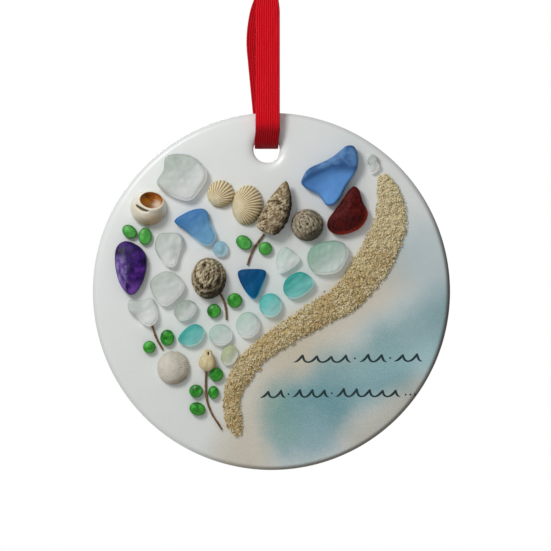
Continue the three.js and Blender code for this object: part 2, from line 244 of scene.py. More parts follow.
RIBBON_WIDTH = 5.15 * MM
RIBBON_HALF_THICKNESS = 0.17 * MM
RIBBON_RIBS = 11
RIBBON_RIB_DEPTH = 0.035 * MM
HOLE_Z = -0.0348

# Half of the loop, as depth from the disc's middle plane and height above the hole.
LEG_ROUTE = [(0.0029, 0.0013), (0.0041, 0.005), (0.0041, 0.0095), (0.0029, 0.020), (0.0019, 0.029),
             (0.0013, 0.0352), (0.0007, 0.0382)]
BIGHT_RISE = 0.0003
LOOP_ROUTE = ([(-depth, HOLE_Z + up) for depth, up in reversed(LEG_ROUTE)] + [(0, HOLE_Z + BIGHT_RISE)]
              + [(depth, HOLE_Z + up) for depth, up in LEG_ROUTE])


def smooth_line(corners, samples, closed=False):
    """A Catmull-Rom curve through corners, resampled to evenly spaced points."""
    corners = np.asarray(corners, float)
    if closed:
        padded = np.vstack([corners[-1:], corners, corners[:2]])
    else:
        padded = np.vstack([2 * corners[0] - corners[1], corners, 2 * corners[-1] - corners[-2]])
    t = np.linspace(0, 1, 24, endpoint=False)[:, None]
    spans = [0.5 * (2 * b + (c - a) * t + (2 * a - 5 * b + 4 * c - d) * t ** 2
                    + (3 * b - a - 3 * c + d) * t ** 3)
             for a, b, c, d in zip(padded[:-3], padded[1:-2], padded[2:-1], padded[3:])]
    line = np.vstack(spans + [padded[-2:-1]])
    gone = np.concatenate([[0], np.linalg.norm(np.diff(line, axis=0), axis=1).cumsum()])
    at = np.linspace(0, gone[-1], samples, endpoint=not closed)
    return np.stack([np.interp(at, gone, line[:, axis]) for axis in range(line.shape[1])], -1)


def new_piece(name, points, faces, finish, marks=(), smooth=True):
    """A mesh object from points and faces, with its finish and per-point attributes."""
    mesh = bpy.data.meshes.new(name)
    mesh.from_pydata(points.tolist(), [], faces)
    for mark, values in dict(marks).items():
        mesh.attributes.new(mark, "FLOAT", "POINT").data.foreach_set("value", values.astype(np.float32))
    mesh.polygons.foreach_set("use_smooth", np.full(len(mesh.polygons), smooth))
    mesh.materials.append(finish)
    mesh.update()
    piece = bpy.data.objects.new(name, mesh)
    bpy.context.collection.objects.link(piece)
    return piece


def skin(name, rings, finish, marks=(), loop=False):
    """A closed piece from rings of points: each ring closes on itself and is joined to the next. The
    first and last rings are closed by a fan to their middles, or to each other where loop is true.
    The faces are turned outwards by the sign of the enclosed volume."""
    rows, columns = rings.shape[:2]
    index = np.arange(rows * columns).reshape(rows, columns)
    near, far = (index, np.roll(index, -1, 0)) if loop else (index[:-1], index[1:])
    quads = np.stack([near, np.roll(near, -1, 1), np.roll(far, -1, 1), far], -1).reshape(-1, 4)
    points = rings.reshape(-1, 3)
    marks = {mark: np.broadcast_to(values, (rows, columns)) for mark, values in dict(marks).items()}
    fans = np.zeros((0, 3), int)
    if not loop:
        points = np.vstack([points, rings[0].mean(0), rings[-1].mean(0)])
        first, last = rows * columns, rows * columns + 1
        fans = np.vstack([
            np.stack([np.full(columns, first), np.roll(index[0], -1), index[0]], -1),
            np.stack([np.full(columns, last), index[-1], np.roll(index[-1], -1)], -1)])
        marks = {mark: np.concatenate([values.ravel(), [values[0].mean(), values[-1].mean()]])
                 for mark, values in marks.items()}
    else:
        marks = {mark: values.ravel() for mark, values in marks.items()}
    triangles = np.vstack([quads[:, [0, 1, 2]], quads[:, [0, 2, 3]], fans])
    a, b, c = (points[triangles[:, corner]] - points.mean(0) for corner in range(3))
    if np.einsum("ij,ij->i", a, np.cross(b, c)).sum() < 0:
        quads, fans = quads[:, ::-1], fans[:, ::-1]
    return new_piece(name, points, quads.tolist() + fans.tolist(), finish, marks)


def ribbon_finish():
    """Red grosgrain: fine ribs along the ribbon, finer crosswise threads between them, and a soft
    sheen. The colour is deeper in the grooves and uneven from thread to thread. Painted shade makes
    it darker low down where it bends into the hole, and on the back leg."""
    finish, tree, shader = new_finish("red_grosgrain", Sheen_Weight=0.03, Sheen_Roughness=0.4,
                                      Specular_IOR_Level=0.12, Sheen_Tint=linear("ff6070"))
    across, along = attribute(tree, "across"), attribute(tree, "along")
    rib = maths(tree, "COSINE", times(tree, across, math.pi * RIBBON_RIBS))
    thread = maths(tree, "SINE", times(tree, along, 2 * math.pi / (0.34 * MM)))
    strand_place = add(tree, "CombineXYZ", {0: times(tree, across, 14.0),
                                            1: times(tree, along, 260.0)})
    strand = noise(tree, strand_place, 1.0, 3.0, 0.7)
    tone = plus(tree, times(tree, rib, 0.26),
                 maths(tree, "MULTIPLY_ADD", strand, 0.9, 0.05))
    colour = ramp(tree, tone, [(0.12, "b0020e"), (0.42, "dc0418"), (0.62, "f40820"), (0.88, "fc2034")])
    place = object_place(tree)
    height_above = add(tree, "SeparateXYZ", {0: place}, 2)
    # Painted shade: the ribbon is darker low down, where it bends back into the hole.
    painted_shade_near_hole = fade(tree, height_above, HOLE_Z + 0.0062, HOLE_Z + 0.0032, 0.0, 0.85)
    colour = mix(tree, painted_shade_near_hole, colour, "8c000c")
    # Painted shade: the back leg, behind the disc, is darker.
    behind = fade(tree, add(tree, "SeparateXYZ", {0: place}, 1), 0.0, 1.0 * MM, 0.0, 0.4)
    colour = mix(tree, behind, colour, "a4000e")
    height = plus(tree, times(tree, rib, 0.7), times(tree, thread, 0.35))
    finish_inputs(tree, shader, Base_Color=colour,
                  Roughness=fade(tree, strand, 0.3, 0.7, 0.62, 0.45),
                  Normal=bump(tree, height, 0.06 * MM, 0.9))
    return finish


red_ribbon = ribbon_finish()


def rib_groove(u):
    """How deep each place across the ribbon lies between its ribs, from 0 to 1: a cosine of u."""
    return 0.5 - 0.5 * np.cos(math.pi * RIBBON_RIBS * u)


def ribbon_piece(name, route, samples, settle, notch=0.0):
    """A flat strip along a route in the YZ plane. At share u of the half width, from -1 to 1, each
    edge point lies on the route at share v of its length, less the notch times u squared, and stands
    off it by the half thickness, ribbed by a cosine of u. settle(u, y, z) gives the point's x."""
    line = smooth_line(route, 400)
    slope = np.gradient(line, axis=0)
    slope /= np.linalg.norm(slope, axis=1, keepdims=True)
    columns = 6 * RIBBON_RIBS
    u = np.linspace(-1, 1, columns)
    stand_off = RIBBON_HALF_THICKNESS * np.sqrt(np.clip(1 - u ** 16, 0, 1))
    stand_off = stand_off - RIBBON_RIB_DEPTH * rib_groove(u) * (stand_off > 0)
    u = np.concatenate([u, u[-2:0:-1]])
    stand_off = np.concatenate([stand_off, -stand_off[-2:0:-1]])
    v = np.linspace(0, 1, samples)[:, None]
    at = v * (1 - notch * (1 - np.abs(u[None, :])) * v)
    y, z, slope_y, slope_z = (np.interp(at, np.linspace(0, 1, 400), values)
                              for values in (*line.T, *slope.T))
    x = settle(u[None, :], y, z)
    rings = np.stack([x, y - slope_z * stand_off, z + slope_y * stand_off], -1)
    length = np.linalg.norm(np.diff(line, axis=0), axis=1).sum()
    piece = skin(name, rings, red_ribbon, {"across": np.broadcast_to(u, at.shape), "along": at * length})
    middle = rings[:, [0, columns - 1]].mean(1)
    return piece, middle


FRONT_LEG_SHIFT = 0.00025
BACK_LEG_SHIFT = -0.0026
LEAN_START = 0.004
LEAN_END = 0.031
WIDTH_IN_HOLE = 0.98
LEAN_BACK = (-0.014, 0.0015)
GATHER = (-0.006, 0.002)
WIDTH_AT_KNOT = 0.66


def smoothstep(value, start, end):
    share = np.clip((value - start) / (end - start), 0, 1)
    return share * share * (3 - 2 * share)


def settle_loop(u, y, z):
    """The loop's x: the half width, gathered in the hole and again where it enters the knot, plus each
    leg's own shift. The back leg leans out to the left and comes back under the knot."""
    up = np.clip((z - HOLE_Z - LEAN_START) / (LEAN_END - LEAN_START), 0, 1) * (1 - smoothstep(z, *LEAN_BACK))
    out_of_hole = smoothstep(z - HOLE_Z, 0.0004, 0.0022)
    width = WIDTH_IN_HOLE + (1 - WIDTH_IN_HOLE) * out_of_hole - (1 - WIDTH_AT_KNOT) * smoothstep(z, *GATHER)
    shift = np.where(y < 0, FRONT_LEG_SHIFT * smoothstep(z - HOLE_Z, 0.0015, LEAN_START),
                     BACK_LEG_SHIFT * up)
    return u * RIBBON_WIDTH / 2 * width + shift


loop_piece, loop_path = ribbon_piece("ribbon_loop_woven", LOOP_ROUTE, 420, settle_loop)
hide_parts("ribbon_loop")
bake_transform(loop_piece)

# ---------------------------------------------------------------- ribbon knot and tails
# The two ends of the same ribbon are tied together in a tight overhand knot. The ribbon wraps a
# packed core three times, and the cut ends stand out of the top of the knot.

knot_low, knot_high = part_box("ribbon_knot")
KNOT_CENTRE = np.array((knot_low + knot_high) / 2)
KNOT_HALF = np.array((knot_high - knot_low) / 2)
WRAP_THICKNESS = 0.4 * MM


def unit(vector):
    vector = np.asarray(vector, float)
    return vector / np.linalg.norm(vector, axis=-1, keepdims=True)


def knot_wrap(name, axis, scale, half_width, offset):
    """A band of ribbon round the core: the part of an ellipsoid shell that lies within half a width
    of the plane across axis. Its section runs over the outside at full thickness and back inside."""
    axis = unit(axis)
    first = unit(np.cross(axis, (0.3, 0.9, 0.1)))
    second = np.cross(axis, first)
    turn = np.linspace(0, 2 * math.pi, 180, endpoint=False)[:, None, None]
    u = np.linspace(-1, 1, 43)
    lift = np.sqrt(np.clip(1 - u ** 12, 0, 1)) * (1 - 0.12 * rib_groove(u))
    u = np.concatenate([u, u[-2:0:-1]])
    lift = np.concatenate([lift, 0 * lift[-2:0:-1]])
    direction = np.cos(turn) * first + np.sin(turn) * second
    away = unit(direction * KNOT_HALF.mean() + axis * (u * half_width + offset)[None, :, None])
    reach = scale / np.linalg.norm(away / KNOT_HALF, axis=-1, keepdims=True)
    crease = 0.02 * np.sin(3 * turn + 2 * u[None, :, None])
    rings = KNOT_CENTRE + away * (reach * (1 + crease) + WRAP_THICKNESS * lift[None, :, None])
    around = turn[..., 0] * KNOT_HALF.mean()
    piece = skin(name, rings, red_ribbon, {"across": u[None, :], "along": around + 0 * u[None, :]},
                 loop=True)
    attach(piece, "hanger")
    return piece


def knot_core():
    """A rounded core that fills the wraps: an ellipsoid with shallow folds that run round it."""
    turn = np.linspace(0, 2 * math.pi, 72, endpoint=False)[None, :]
    tilt = np.linspace(-math.pi / 2, math.pi / 2, 40)[1:-1, None]
    fold = 0.88 * (1 + 0.03 * np.sin(9 * tilt + turn))
    rings = KNOT_CENTRE + KNOT_HALF * fold[..., None] * np.stack(
        [np.cos(tilt) * np.cos(turn), np.cos(tilt) * np.sin(turn), np.sin(tilt) + 0 * turn], -1)
    piece = skin("knot_core", rings, red_ribbon, {"across": np.sin(3 * tilt), "along": turn * 0.004})
    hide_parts("ribbon_knot")
    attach(piece, "hanger")
    return piece


knot_pieces = [
    knot_core(),
    knot_wrap("knot_wrap_inner", (0.82, 0.05, 0.57), 0.79, 2.1 * MM, 0.2 * MM),
    knot_wrap("knot_wrap_middle", (-0.62, 0.1, 0.78), 0.88, 2.0 * MM, -0.5 * MM),
    knot_wrap("knot_wrap_outer", (0.16, -0.06, 0.98), 0.94, 1.75 * MM, 0.1 * MM),
]

TAIL_LENGTH = 0.0152
TAIL_SPLAY = 0.4
TAIL_SPACING = 0.0008
TAIL_NOTCH = 0.13
TAIL_SINK = 2.6 * MM

for side, sign in (("left", -1), ("right", 1)):
    foot = knot_high.z - TAIL_SINK
    route = [(sign * share * TAIL_SPACING, foot + rise * TAIL_LENGTH)
             for share, rise in ((1, 0), (1.4, 0.4), (3, 0.75), (6, 1))]

    def splay(u, y, z):
        """The tail's x: gathered to two thirds at its foot, then full width, leaning outwards."""
        up = np.clip(z - foot, 0, 1)
        width = RIBBON_WIDTH * (0.66 + 0.34 * smoothstep(up, 0, 0.35 * TAIL_LENGTH))
        return u * width / 2 + sign * TAIL_SPLAY * up

    tail, _ = ribbon_piece(f"ribbon_tail_{side}_cut", route, 90, splay, notch=TAIL_NOTCH)
    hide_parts(f"ribbon_tail_{side}")
    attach(tail, "hanger")
    knot_pieces.append(tail)

# ---------------------------------------------------------------- ceramic disc
# A cast white ceramic disc with a rolled rim and a hole for the ribbon, dipped in clear glossy
# glaze. A soft sea wash of teal, blue and sand is printed under the glaze at its lower right.

GLUE_FILM = 0.3 * MM
RIM_ROUNDING = 1.2 * MM
HOLE_ROUNDING = 1.0 * MM
HOLE_FLARE = 2.2 * MM
HOLE_RADIUS = 2.8 * MM
HOLE_CENTRE = np.array([0, HOLE_Z])
RIM_FALL = 0.5
RIM_FALL_WIDTH = 8.0


def face_fall(radius):
    """How far the glazed face falls back near the rim, in millimetres: a parabola over a margin."""
    return RIM_FALL * np.clip((radius - DISC_RADIUS / MM + RIM_FALL_WIDTH) / RIM_FALL_WIDTH, 0, 1) ** 2


def on_face(x, z, height):
    """Row frame points from drawing-board places on the face, in millimetres: x to the right and z
    up from the disc's centre, and height out of the face. Low points follow the face where it
    falls away to the rim."""
    x, z, height = np.broadcast_arrays(np.asarray(x, float), z, height)
    settled = height - face_fall(np.hypot(x, z)) * np.clip(1 - height, 0, 1)
    return np.stack([DISC_CENTRE.x + x * MM, FACE - settled * MM, DISC_CENTRE.z + z * MM], -1)


def disc_piece(finish):
    """Nested circles that grow from the hole's circle to the rim's: over the face, round the rim,
    back over the rear and through the hole. The rim is a quarter circle, the hole a quarter ellipse."""
    columns = 288
    turn = np.linspace(0, 2 * math.pi, columns, endpoint=False)
    quarter = np.linspace(0, math.pi / 2, 9)
    hole, rim = HOLE_RADIUS, DISC_RADIUS
    section = [(0, hole + HOLE_FLARE * (1 - math.sin(a)), FACE + HOLE_ROUNDING * (1 - math.cos(a)))
               for a in quarter[::-1]]
    section += [(share, None, FACE) for share in np.linspace(0, 1, 44)[1:-1]]
    section += [(1, rim - RIM_ROUNDING * (1 - math.sin(a)), FACE + RIM_ROUNDING * (1 - math.cos(a)))
                for a in quarter]
    section += [(1, rim - RIM_ROUNDING * (1 - math.sin(a)), BACK - RIM_ROUNDING * (1 - math.cos(a)))
                for a in quarter[::-1]]
    section += [(share, None, BACK) for share in np.linspace(1, 0, 16)[1:-1]]
    section += [(0, hole + HOLE_FLARE * (1 - math.sin(a)), BACK - HOLE_ROUNDING * (1 - math.cos(a)))
                for a in quarter]
    inner, outer = hole + HOLE_FLARE, rim - RIM_ROUNDING
    share = np.array([row[0] for row in section])
    radius = np.array([inner + (outer - inner) * row[0] if row[1] is None else row[1] for row in section])
    depth = np.array([row[2] for row in section])
    middle = HOLE_CENTRE + share[:, None] * (np.array([DISC_CENTRE.x, DISC_CENTRE.z]) - HOLE_CENTRE)
    x = middle[:, :1] + radius[:, None] * np.cos(turn)
    z = middle[:, 1:] + radius[:, None] * np.sin(turn)
    from_centre = np.hypot(x - DISC_CENTRE.x, z - DISC_CENTRE.z) / MM
    front = smoothstep(depth[:, None], DISC_CENTRE.y, FACE)
    rings = np.stack([x, depth[:, None] + face_fall(from_centre) * MM * front, z], -1)
    return skin("ceramic_disc_glazed", rings, finish, loop=True)


def brush_stroke(tree, place, start, end, half_width, softness):
    """One where a place is within half a width of the line from start to end, and fading to zero
    over the softness beyond it. The distance is to the nearest point of the line, in millimetres."""
    start, end = np.array([start[0], start[1], 0.0]), np.array([end[0], end[1], 0.0])
    line = end - start
    from_start = add(tree, "VectorMath", {0: place, 1: start}, "Vector", operation="SUBTRACT")
    dot = add(tree, "VectorMath", {0: from_start, 1: line / (line @ line)}, "Value",
              operation="DOT_PRODUCT")
    nearest = add(tree, "VectorMath", {0: line, "Scale": maths(tree, "MAXIMUM", maths(
        tree, "MINIMUM", dot, 1.0), 0.0)}, "Vector", operation="SCALE")
    distance = add(tree, "VectorMath", {0: from_start, 1: nearest}, "Value", operation="DISTANCE")
    return fade(tree, distance, half_width + softness, max(half_width - softness * 0.4, 0))


WASH_STROKES = [
    # colour, start, end, half width, softness, strength
    ("d8ccb6", (-6, -36), (3, -13), 4.5, 7.0, 0.75),
    ("d8ccb6", (6, -12), (24, 4), 4.5, 6.0, 0.75),
    ("b4cbd2", (31, 8), (37, -2), 4.0, 8.0, 0.65),
    ("92b8be", (26, -11), (37, -6), 4.0, 6.5, 0.9),
    ("88b0b2", (13, -16.5), (25, -14.5), 2.4, 5.5, 0.85),
    ("b4dae0", (22, -20), (33, -14), 2.5, 6.0, 0.8),
    ("86b2ba", (12, -22), (27, -19), 2.0, 5.5, 0.85),
    ("76a8b0", (5, -25), (12, -25), 4.8, 6.0, 0.95),
    ("94bac4", (4, -32), (9, -31), 2.6, 5.5, 0.8),
    ("8cb6a4", (1, -23), (3, -30), 1.4, 4.0, 0.45),
    ("d2cec2", (19, -31.5), (31, -22), 1.3, 6.0, 0.85),
]


def glazed_ceramic():
    """White glaze, a little uneven. The wash is a few soft brush strokes on the front, mixed over
    one another on a place that noise shifts about, with the fine mottle of a printed decal. The
    front of the rim is painted darker over the lower right, as painted shade on the side away from
    the lamp."""
    finish, tree, shader = new_finish("glazed_ceramic", Coat_Weight=0.3, Coat_Roughness=0.32,
                                      Specular_IOR_Level=0.45, Subsurface_Weight=0.06,
                                      Subsurface_Radius=(0.002, 0.002, 0.0018))
    there = object_place(tree)
    centred = add(tree, "VectorMath", {0: there, 1: tuple(DISC_CENTRE)}, "Vector", operation="SUBTRACT")
    board = add(tree, "VectorMath", {0: centred, "Scale": 1 / MM}, "Vector", operation="SCALE")
    parts = add(tree, "SeparateXYZ", {0: board}, 0).node.outputs
    flat = add(tree, "CombineXYZ", {0: parts[0], 1: parts[2], 2: 0.0})
    drift = add(tree, "TexNoise", {"Vector": flat, "Scale": 0.11, "Detail": 4.0, "Roughness": 0.62}, "Color")
    shifted = add(tree, "VectorMath", {0: drift, 1: (0.5, 0.5, 0.5)}, "Vector", operation="SUBTRACT")
    moved = add(tree, "VectorMath", {0: shifted, 1: (5.0, 5.0, 0.0), 2: flat}, "Vector",
                operation="MULTIPLY_ADD")
    cloud = noise(tree, flat, 0.05, 3.0)
    colour = ramp(tree, cloud, [(0.3, "eef0ee"), (0.7, "f3f4f2")])
    wash = noise(tree, flat, 0.5, 5.0, 0.68)
    uneven = fade(tree, wash, 0.25, 0.62, 0.86, 1.0)
    front = fade(tree, parts[1], 0.0, (FACE - DISC_CENTRE.y) / MM * 0.5)
    for tint, start, end, half_width, softness, strength in WASH_STROKES:
        stroke = brush_stroke(tree, moved, start, end, half_width, softness)
        share = times(tree, stroke, uneven, strength)
        colour = mix(tree, times(tree, share, front), colour, tint)
    grain = noise(tree, flat, 2.6, 2.0, 0.8)
    mottle = times(tree, fade(tree, parts[2], 10.0, -12.0), 0.5)
    speckle = ramp(tree, grain, [(0.3, "8f8f8b"), (0.5, "bcbcba"), (0.7, "e4e4e2")])
    colour = mix(tree, mottle, colour, speckle, "SOFT_LIGHT")
    from_centre = add(tree, "VectorMath", {0: flat}, "Value", operation="LENGTH")
    # Painted shade: the front of the rim turns dark grey-brown over the lower right, away from the lamp.
    at_rim = fade(tree, from_centre, DISC_RADIUS / MM - 1.1, DISC_RADIUS / MM - 0.25)
    towards_low = add(tree, "VectorMath", {0: flat, 1: (0.77, -0.64, 0)}, "Value", operation="DOT_PRODUCT")
    low_side = fade(tree, towards_low, 0.05 * DISC_RADIUS / MM, 0.8 * DISC_RADIUS / MM, 0.04, 1.0)
    painted_rim_shade = times(tree, at_rim, low_side, front)
    colour = mix(tree, painted_rim_shade, colour, "7a746b")
    swell = noise(tree, flat, 0.12, 2.0)
    finish_inputs(tree, shader, Base_Color=colour, Roughness=fade(tree, cloud, 0.3, 0.7, 0.36, 0.28),
                  Normal=bump(tree, swell, 1.0 * MM, 0.12))
    return finish


ceramic = glazed_ceramic()
disc = disc_piece(ceramic)
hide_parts("ceramic_disc")
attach(disc, "disc")

# ---------------------------------------------------------------- ink flourishes
# Two lines of brush-pen flourishes in dark sea-green ink, printed on the wash before firing. They
# are plain rolling waves, drawn in short groups that end in a row of dots, and hold no lettering.

INK_HEIGHT = 0.03
INK_SECTION = 8


def ink_finish():
    finish, tree, shader = new_finish("sea_green_ink", Specular_IOR_Level=0.4)
    place = object_place(tree)
    patch = noise(tree, place, 900.0, 3.0)
    finish_inputs(tree, shader, Base_Color=ramp(tree, patch, [(0.3, "13282a"), (0.7, "264347")]),
                  Roughness=fade(tree, patch, 0.3, 0.7, 0.4, 0.6))
    return finish


def beside_line(line, sideways):
    """The x and z of places that lie off a drawn line by their sideways step along its normal."""
    slope = unit(np.gradient(line, axis=0))
    return line[:, :1] - slope[:, 1:] * sideways, line[:, 1:] + slope[:, :1] * sideways


def pen_stroke(line, width):
    """Rings of a flat lens section along a drawn line: each point moves off the line by half the pen
    width along its normal, and off the face by the ink's height."""
    turn = np.linspace(0, 2 * math.pi, INK_SECTION, endpoint=False)
    return on_face(*beside_line(line, (width / 2)[:, None] * np.cos(turn)),
                   INK_HEIGHT * (0.35 + 0.65 * np.sin(turn)))


def rolling_wave(start, baseline, crests, pitch, height, lean, seed):
    """A hand-drawn run of waves: each crest rises and falls as a sine, and its top leans back over
    its foot like a breaking wave. The pen is broader half way up and half way down than at crests and
    troughs."""
    rng = np.random.default_rng(seed)
    t = np.linspace(0, crests, 40 * crests)
    tall = height * np.interp(t, np.arange(crests + 1) , 1 + rng.uniform(-0.22, 0.22, crests + 1))
    phase = 2 * math.pi * t
    x = start + pitch * t + lean * np.sin(phase - 0.5)
    z = baseline + tall * (0.5 - 0.5 * np.cos(phase))
    width = 0.34 + 0.16 * np.sin(phase) ** 2
    width *= np.clip(np.minimum(t, crests - t) * 5 + 0.35, 0, 1)
    return np.stack([x, z], -1), width


def ink_dot(x, z, radius):
    """A small dot drawn as a stroke about as long as it is broad."""
    t = np.linspace(-1, 1, 9)
    line = np.stack([x + radius * t, np.full_like(t, z)], -1)
    return line, 2 * radius * np.sqrt(np.clip(1.06 - t ** 2, 0, 1))


# first x, baseline, crests, pitch, height, lean of each group
INK_WAVES = [
    (4.9, -15.0, 4, 3.05, 1.5, 0.42), (18.9, -14.9, 2, 2.9, 1.4, 0.4), (26.2, -14.8, 2, 3.0, 1.5, 0.42),
    (-2.2, -22.5, 2, 2.7, 1.5, 0.4), (4.6, -22.4, 3, 2.6, 1.4, 0.38), (13.8, -22.3, 5, 2.75, 1.5, 0.4),
]
INK_DOTS = [(17.7, -14.2), (25.2, -14.1), (3.6, -21.8), (12.8, -21.6), (28.5, -21.9), (29.5, -21.9),
            (30.5, -21.9)]


def ink_piece():
    """All the strokes as one piece, each a closed run of rings."""
    strokes = [rolling_wave(*group, seed=number) for number, group in enumerate(INK_WAVES)]
    strokes += [ink_dot(x, z, 0.2) for x, z in INK_DOTS]
    ink = ink_finish()
    parts = [skin(f"ink_part_{number}", pen_stroke(line, width), ink)
             for number, (line, width) in enumerate(strokes)]
    return join_pieces("ink_flourishes", parts)


def join_pieces(name, parts):
    """Joins several new meshes of one finish into a single piece."""
    bpy.ops.object.select_all(action="DESELECT")
    for part in parts:
        part.select_set(True)
    bpy.context.view_layer.objects.active = parts[0]
    bpy.ops.object.join()
    parts[0].name = name
    parts[0].data.name = name
    return parts[0]


def glue_down(piece, slot, *nodes):
    """A decoration: it rides on the disc and stands for its plain solid. The slot is not used."""
    if nodes:
        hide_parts(*nodes)
    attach(piece, "disc")


glue_down(ink_piece(), "glazed_white_ceramic")

# ---------------------------------------------------------------- sea glass
# Bits of bottle glass, tumbled by the sea until every edge is round and the skin is frosted. They
# lie flat in a film of clear glue. Their colour carries painted shade and light: darker towards the
# lamp and paler at the edge away from it, where light gathers, with a painted glow along that edge.

BEDDING = 0.02
EDGE_GLOW = 0.22
GLASS_IOR = 1.5


def ripple(points, wavelength, seed, waves=16):
    """Smooth noise of about one unit: a sum of sines of near one wavelength in random directions."""
    rng = np.random.default_rng(seed)
    towards = unit(rng.normal(size=(waves, points.shape[-1])))
    towards *= (2 * math.pi / (wavelength * rng.uniform(0.7, 1.5, waves)))[:, None]
    phase = rng.uniform(0, 2 * math.pi, waves)
    return np.sin(points @ towards.T + phase).sum(-1) / math.sqrt(waves)


def widest_outline(node, samples):
    """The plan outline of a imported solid, in millimetres on the drawing board: its widest ring of
    corners, in order round the middle, resampled as a smooth closed line."""
    co = np.array([v.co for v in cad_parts[node].data.vertices], float)
    plan = np.stack([co[:, 0] - DISC_CENTRE.x, co[:, 2] - DISC_CENTRE.z], -1) / MM
    level = np.round(co[:, 1] / MM, 2)
    spread = {depth: np.ptp(plan[level == depth], axis=0).sum() for depth in np.unique(level)}
    ring = np.unique(np.round(plan[level == max(spread, key=spread.get)], 3), axis=0)
    middle = ring.mean(0)
    order = np.argsort(np.arctan2(*(ring - middle).T[::-1]))
    return smooth_line(ring[order], samples, closed=True)


def piece_height(node):
    """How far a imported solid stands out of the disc's face, in millimetres."""
    return (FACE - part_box(node)[0].y) / MM


def laid(name, plan, level, finish, marks=()):
    """A closed piece from rings of plan places and heights, in millimetres, laid on the disc's face."""
    return skin(name, on_face(plan[..., 0], plan[..., 1], level), finish, marks)


def tumbled_rings(outline, height, edge, crown, seed, waviness=0.05):
    """Rings of a tumbled piece, as plan places and heights in millimetres: from the underside, round
    the edge on half a superellipse, then over a top that is crowned towards the middle and wavy."""
    middle = outline.mean(0)
    inward = unit(middle - outline)
    angle = np.linspace(-math.pi / 2, math.pi / 2, 17)
    inset = edge * (1 - np.cos(angle) ** 0.85)
    shoulder = height - crown
    bulge = np.sign(np.sin(angle)) * np.abs(np.sin(angle)) ** 0.9
    level = BEDDING + (shoulder - BEDDING) * (0.5 + 0.5 * bulge)
    share = np.linspace(1, 0, 15)[1:-1]
    side = outline + inset[:, None, None] * inward
    top = middle + share[:, None, None] * (side[-1] - middle)
    base = middle + share[::-1, None, None] * (side[0] - middle)
    plan = np.concatenate([base, side, top])
    level = np.concatenate([np.full(len(base), BEDDING), level, shoulder + crown * (1 - share ** 2)])
    level = np.broadcast_to(level[:, None], plan.shape[:2])
    on_top = smoothstep(level, 0.5 * height, shoulder)
    broad, fine = waviness * ripple(plan, 5.0, seed), 0.35 * waviness * ripple(plan, 1.7, seed + 1)
    level = level + on_top * (broad + fine)
    from_edge = np.linalg.norm(plan - outline, axis=-1)
    return plan, level, from_edge


def frost_group():
    """Frosted glass colour with painted light and shade: from the shaded tint to the lit tint across the
    piece, veined a little by noise, then paler in a thin band along the far edge as painted light, with
    a faint painted glow given out there. Fine pits roughen the skin."""
    tree = bpy.data.node_groups.new("sea_frost", "ShaderNodeTree")
    for label, kind, value in (("Shaded", "Color", (0.5, 0.5, 0.5, 1)), ("Lit", "Color", (0.8, 0.8, 0.8, 1)),
                               ("Edge", "Color", (0.9, 0.9, 0.9, 1)), ("Edge Share", "Float", 0.7),
                               ("Veins", "Float", 0.1), ("Pits", "Float", 0.3)):
        socket = tree.interface.new_socket(label, in_out="INPUT", socket_type="NodeSocket" + kind)
        socket.default_value = value
    for label, kind in (("Colour", "Color"), ("Glow", "Color"), ("Roughness", "Float"),
                        ("Normal", "Vector")):
        tree.interface.new_socket(label, in_out="OUTPUT", socket_type="NodeSocket" + kind)
    given = tree.nodes.new("NodeGroupInput").outputs
    result = tree.nodes.new("NodeGroupOutput").inputs
    place = object_place(tree)
    across, rim = attribute(tree, "across"), attribute(tree, "rim")
    vein = noise(tree, place, 420.0, 4.0, 0.6)
    wobble = times(tree, maths(tree, "SUBTRACT", vein, 0.5), times(tree, given["Veins"], 6.0))
    # Painted shade and light: the shaded tint towards the lamp, the lit tint away from it.
    body = mix(tree, fade(tree, plus(tree, across, wobble), -0.85, 0.8), given["Shaded"], given["Lit"])
    # Painted light: a pale band and a glow along the far edge.
    painted_edge_light = times(tree, fade(tree, rim, 0.5, 0.1), fade(tree, across, 0.0, 0.6))
    body = mix(tree, times(tree, painted_edge_light, given["Edge Share"]), body, given["Edge"])
    pit = noise(tree, place, 4200.0, 2.0, 0.6)
    chip = fade(tree, noise(tree, place, 1700.0, 1.0), 0.62, 0.72)
    tree.links.new(body, result["Colour"])
    tree.links.new(mix(tree, painted_edge_light, (0, 0, 0, 1), given["Edge"]), result["Glow"])
    tree.links.new(fade(tree, pit, 0.3, 0.7, 0.42, 0.62), result["Roughness"])
    height = plus(tree, pit, times(tree, chip, -0.8))
    tree.links.new(bump(tree, times(tree, height, given["Pits"]), 0.05 * MM, 0.8), result["Normal"])
    return tree


sea_frost = frost_group()


def new_glass(name, sheen, see_through, soft, reach, radii, **values):
    """A new glass material: how much it shines, how much it lets through, and how much, how far and
    in which colours light spreads inside it."""
    return new_finish(name, Specular_IOR_Level=sheen, Transmission_Weight=see_through, IOR=GLASS_IOR,
                      Subsurface_Weight=soft, Subsurface_Scale=reach, Subsurface_Radius=radii, **values)


def through(tint, depth):
    """A tint seen through a depth of glass: the share that each colour lets through, to the power of
    the depth."""
    return (*[share ** depth for share in linear(tint)[:3]], 1)


def place_frost(tree, **values):
    """The outputs of a frost group placed in a material, with underscores for spaces in its inputs."""
    frost = tree.nodes.new("ShaderNodeGroup")
    frost.node_tree = sea_frost
    for label, value in values.items():
        frost.inputs[label.replace("_", " ")].default_value = value
    return frost.outputs


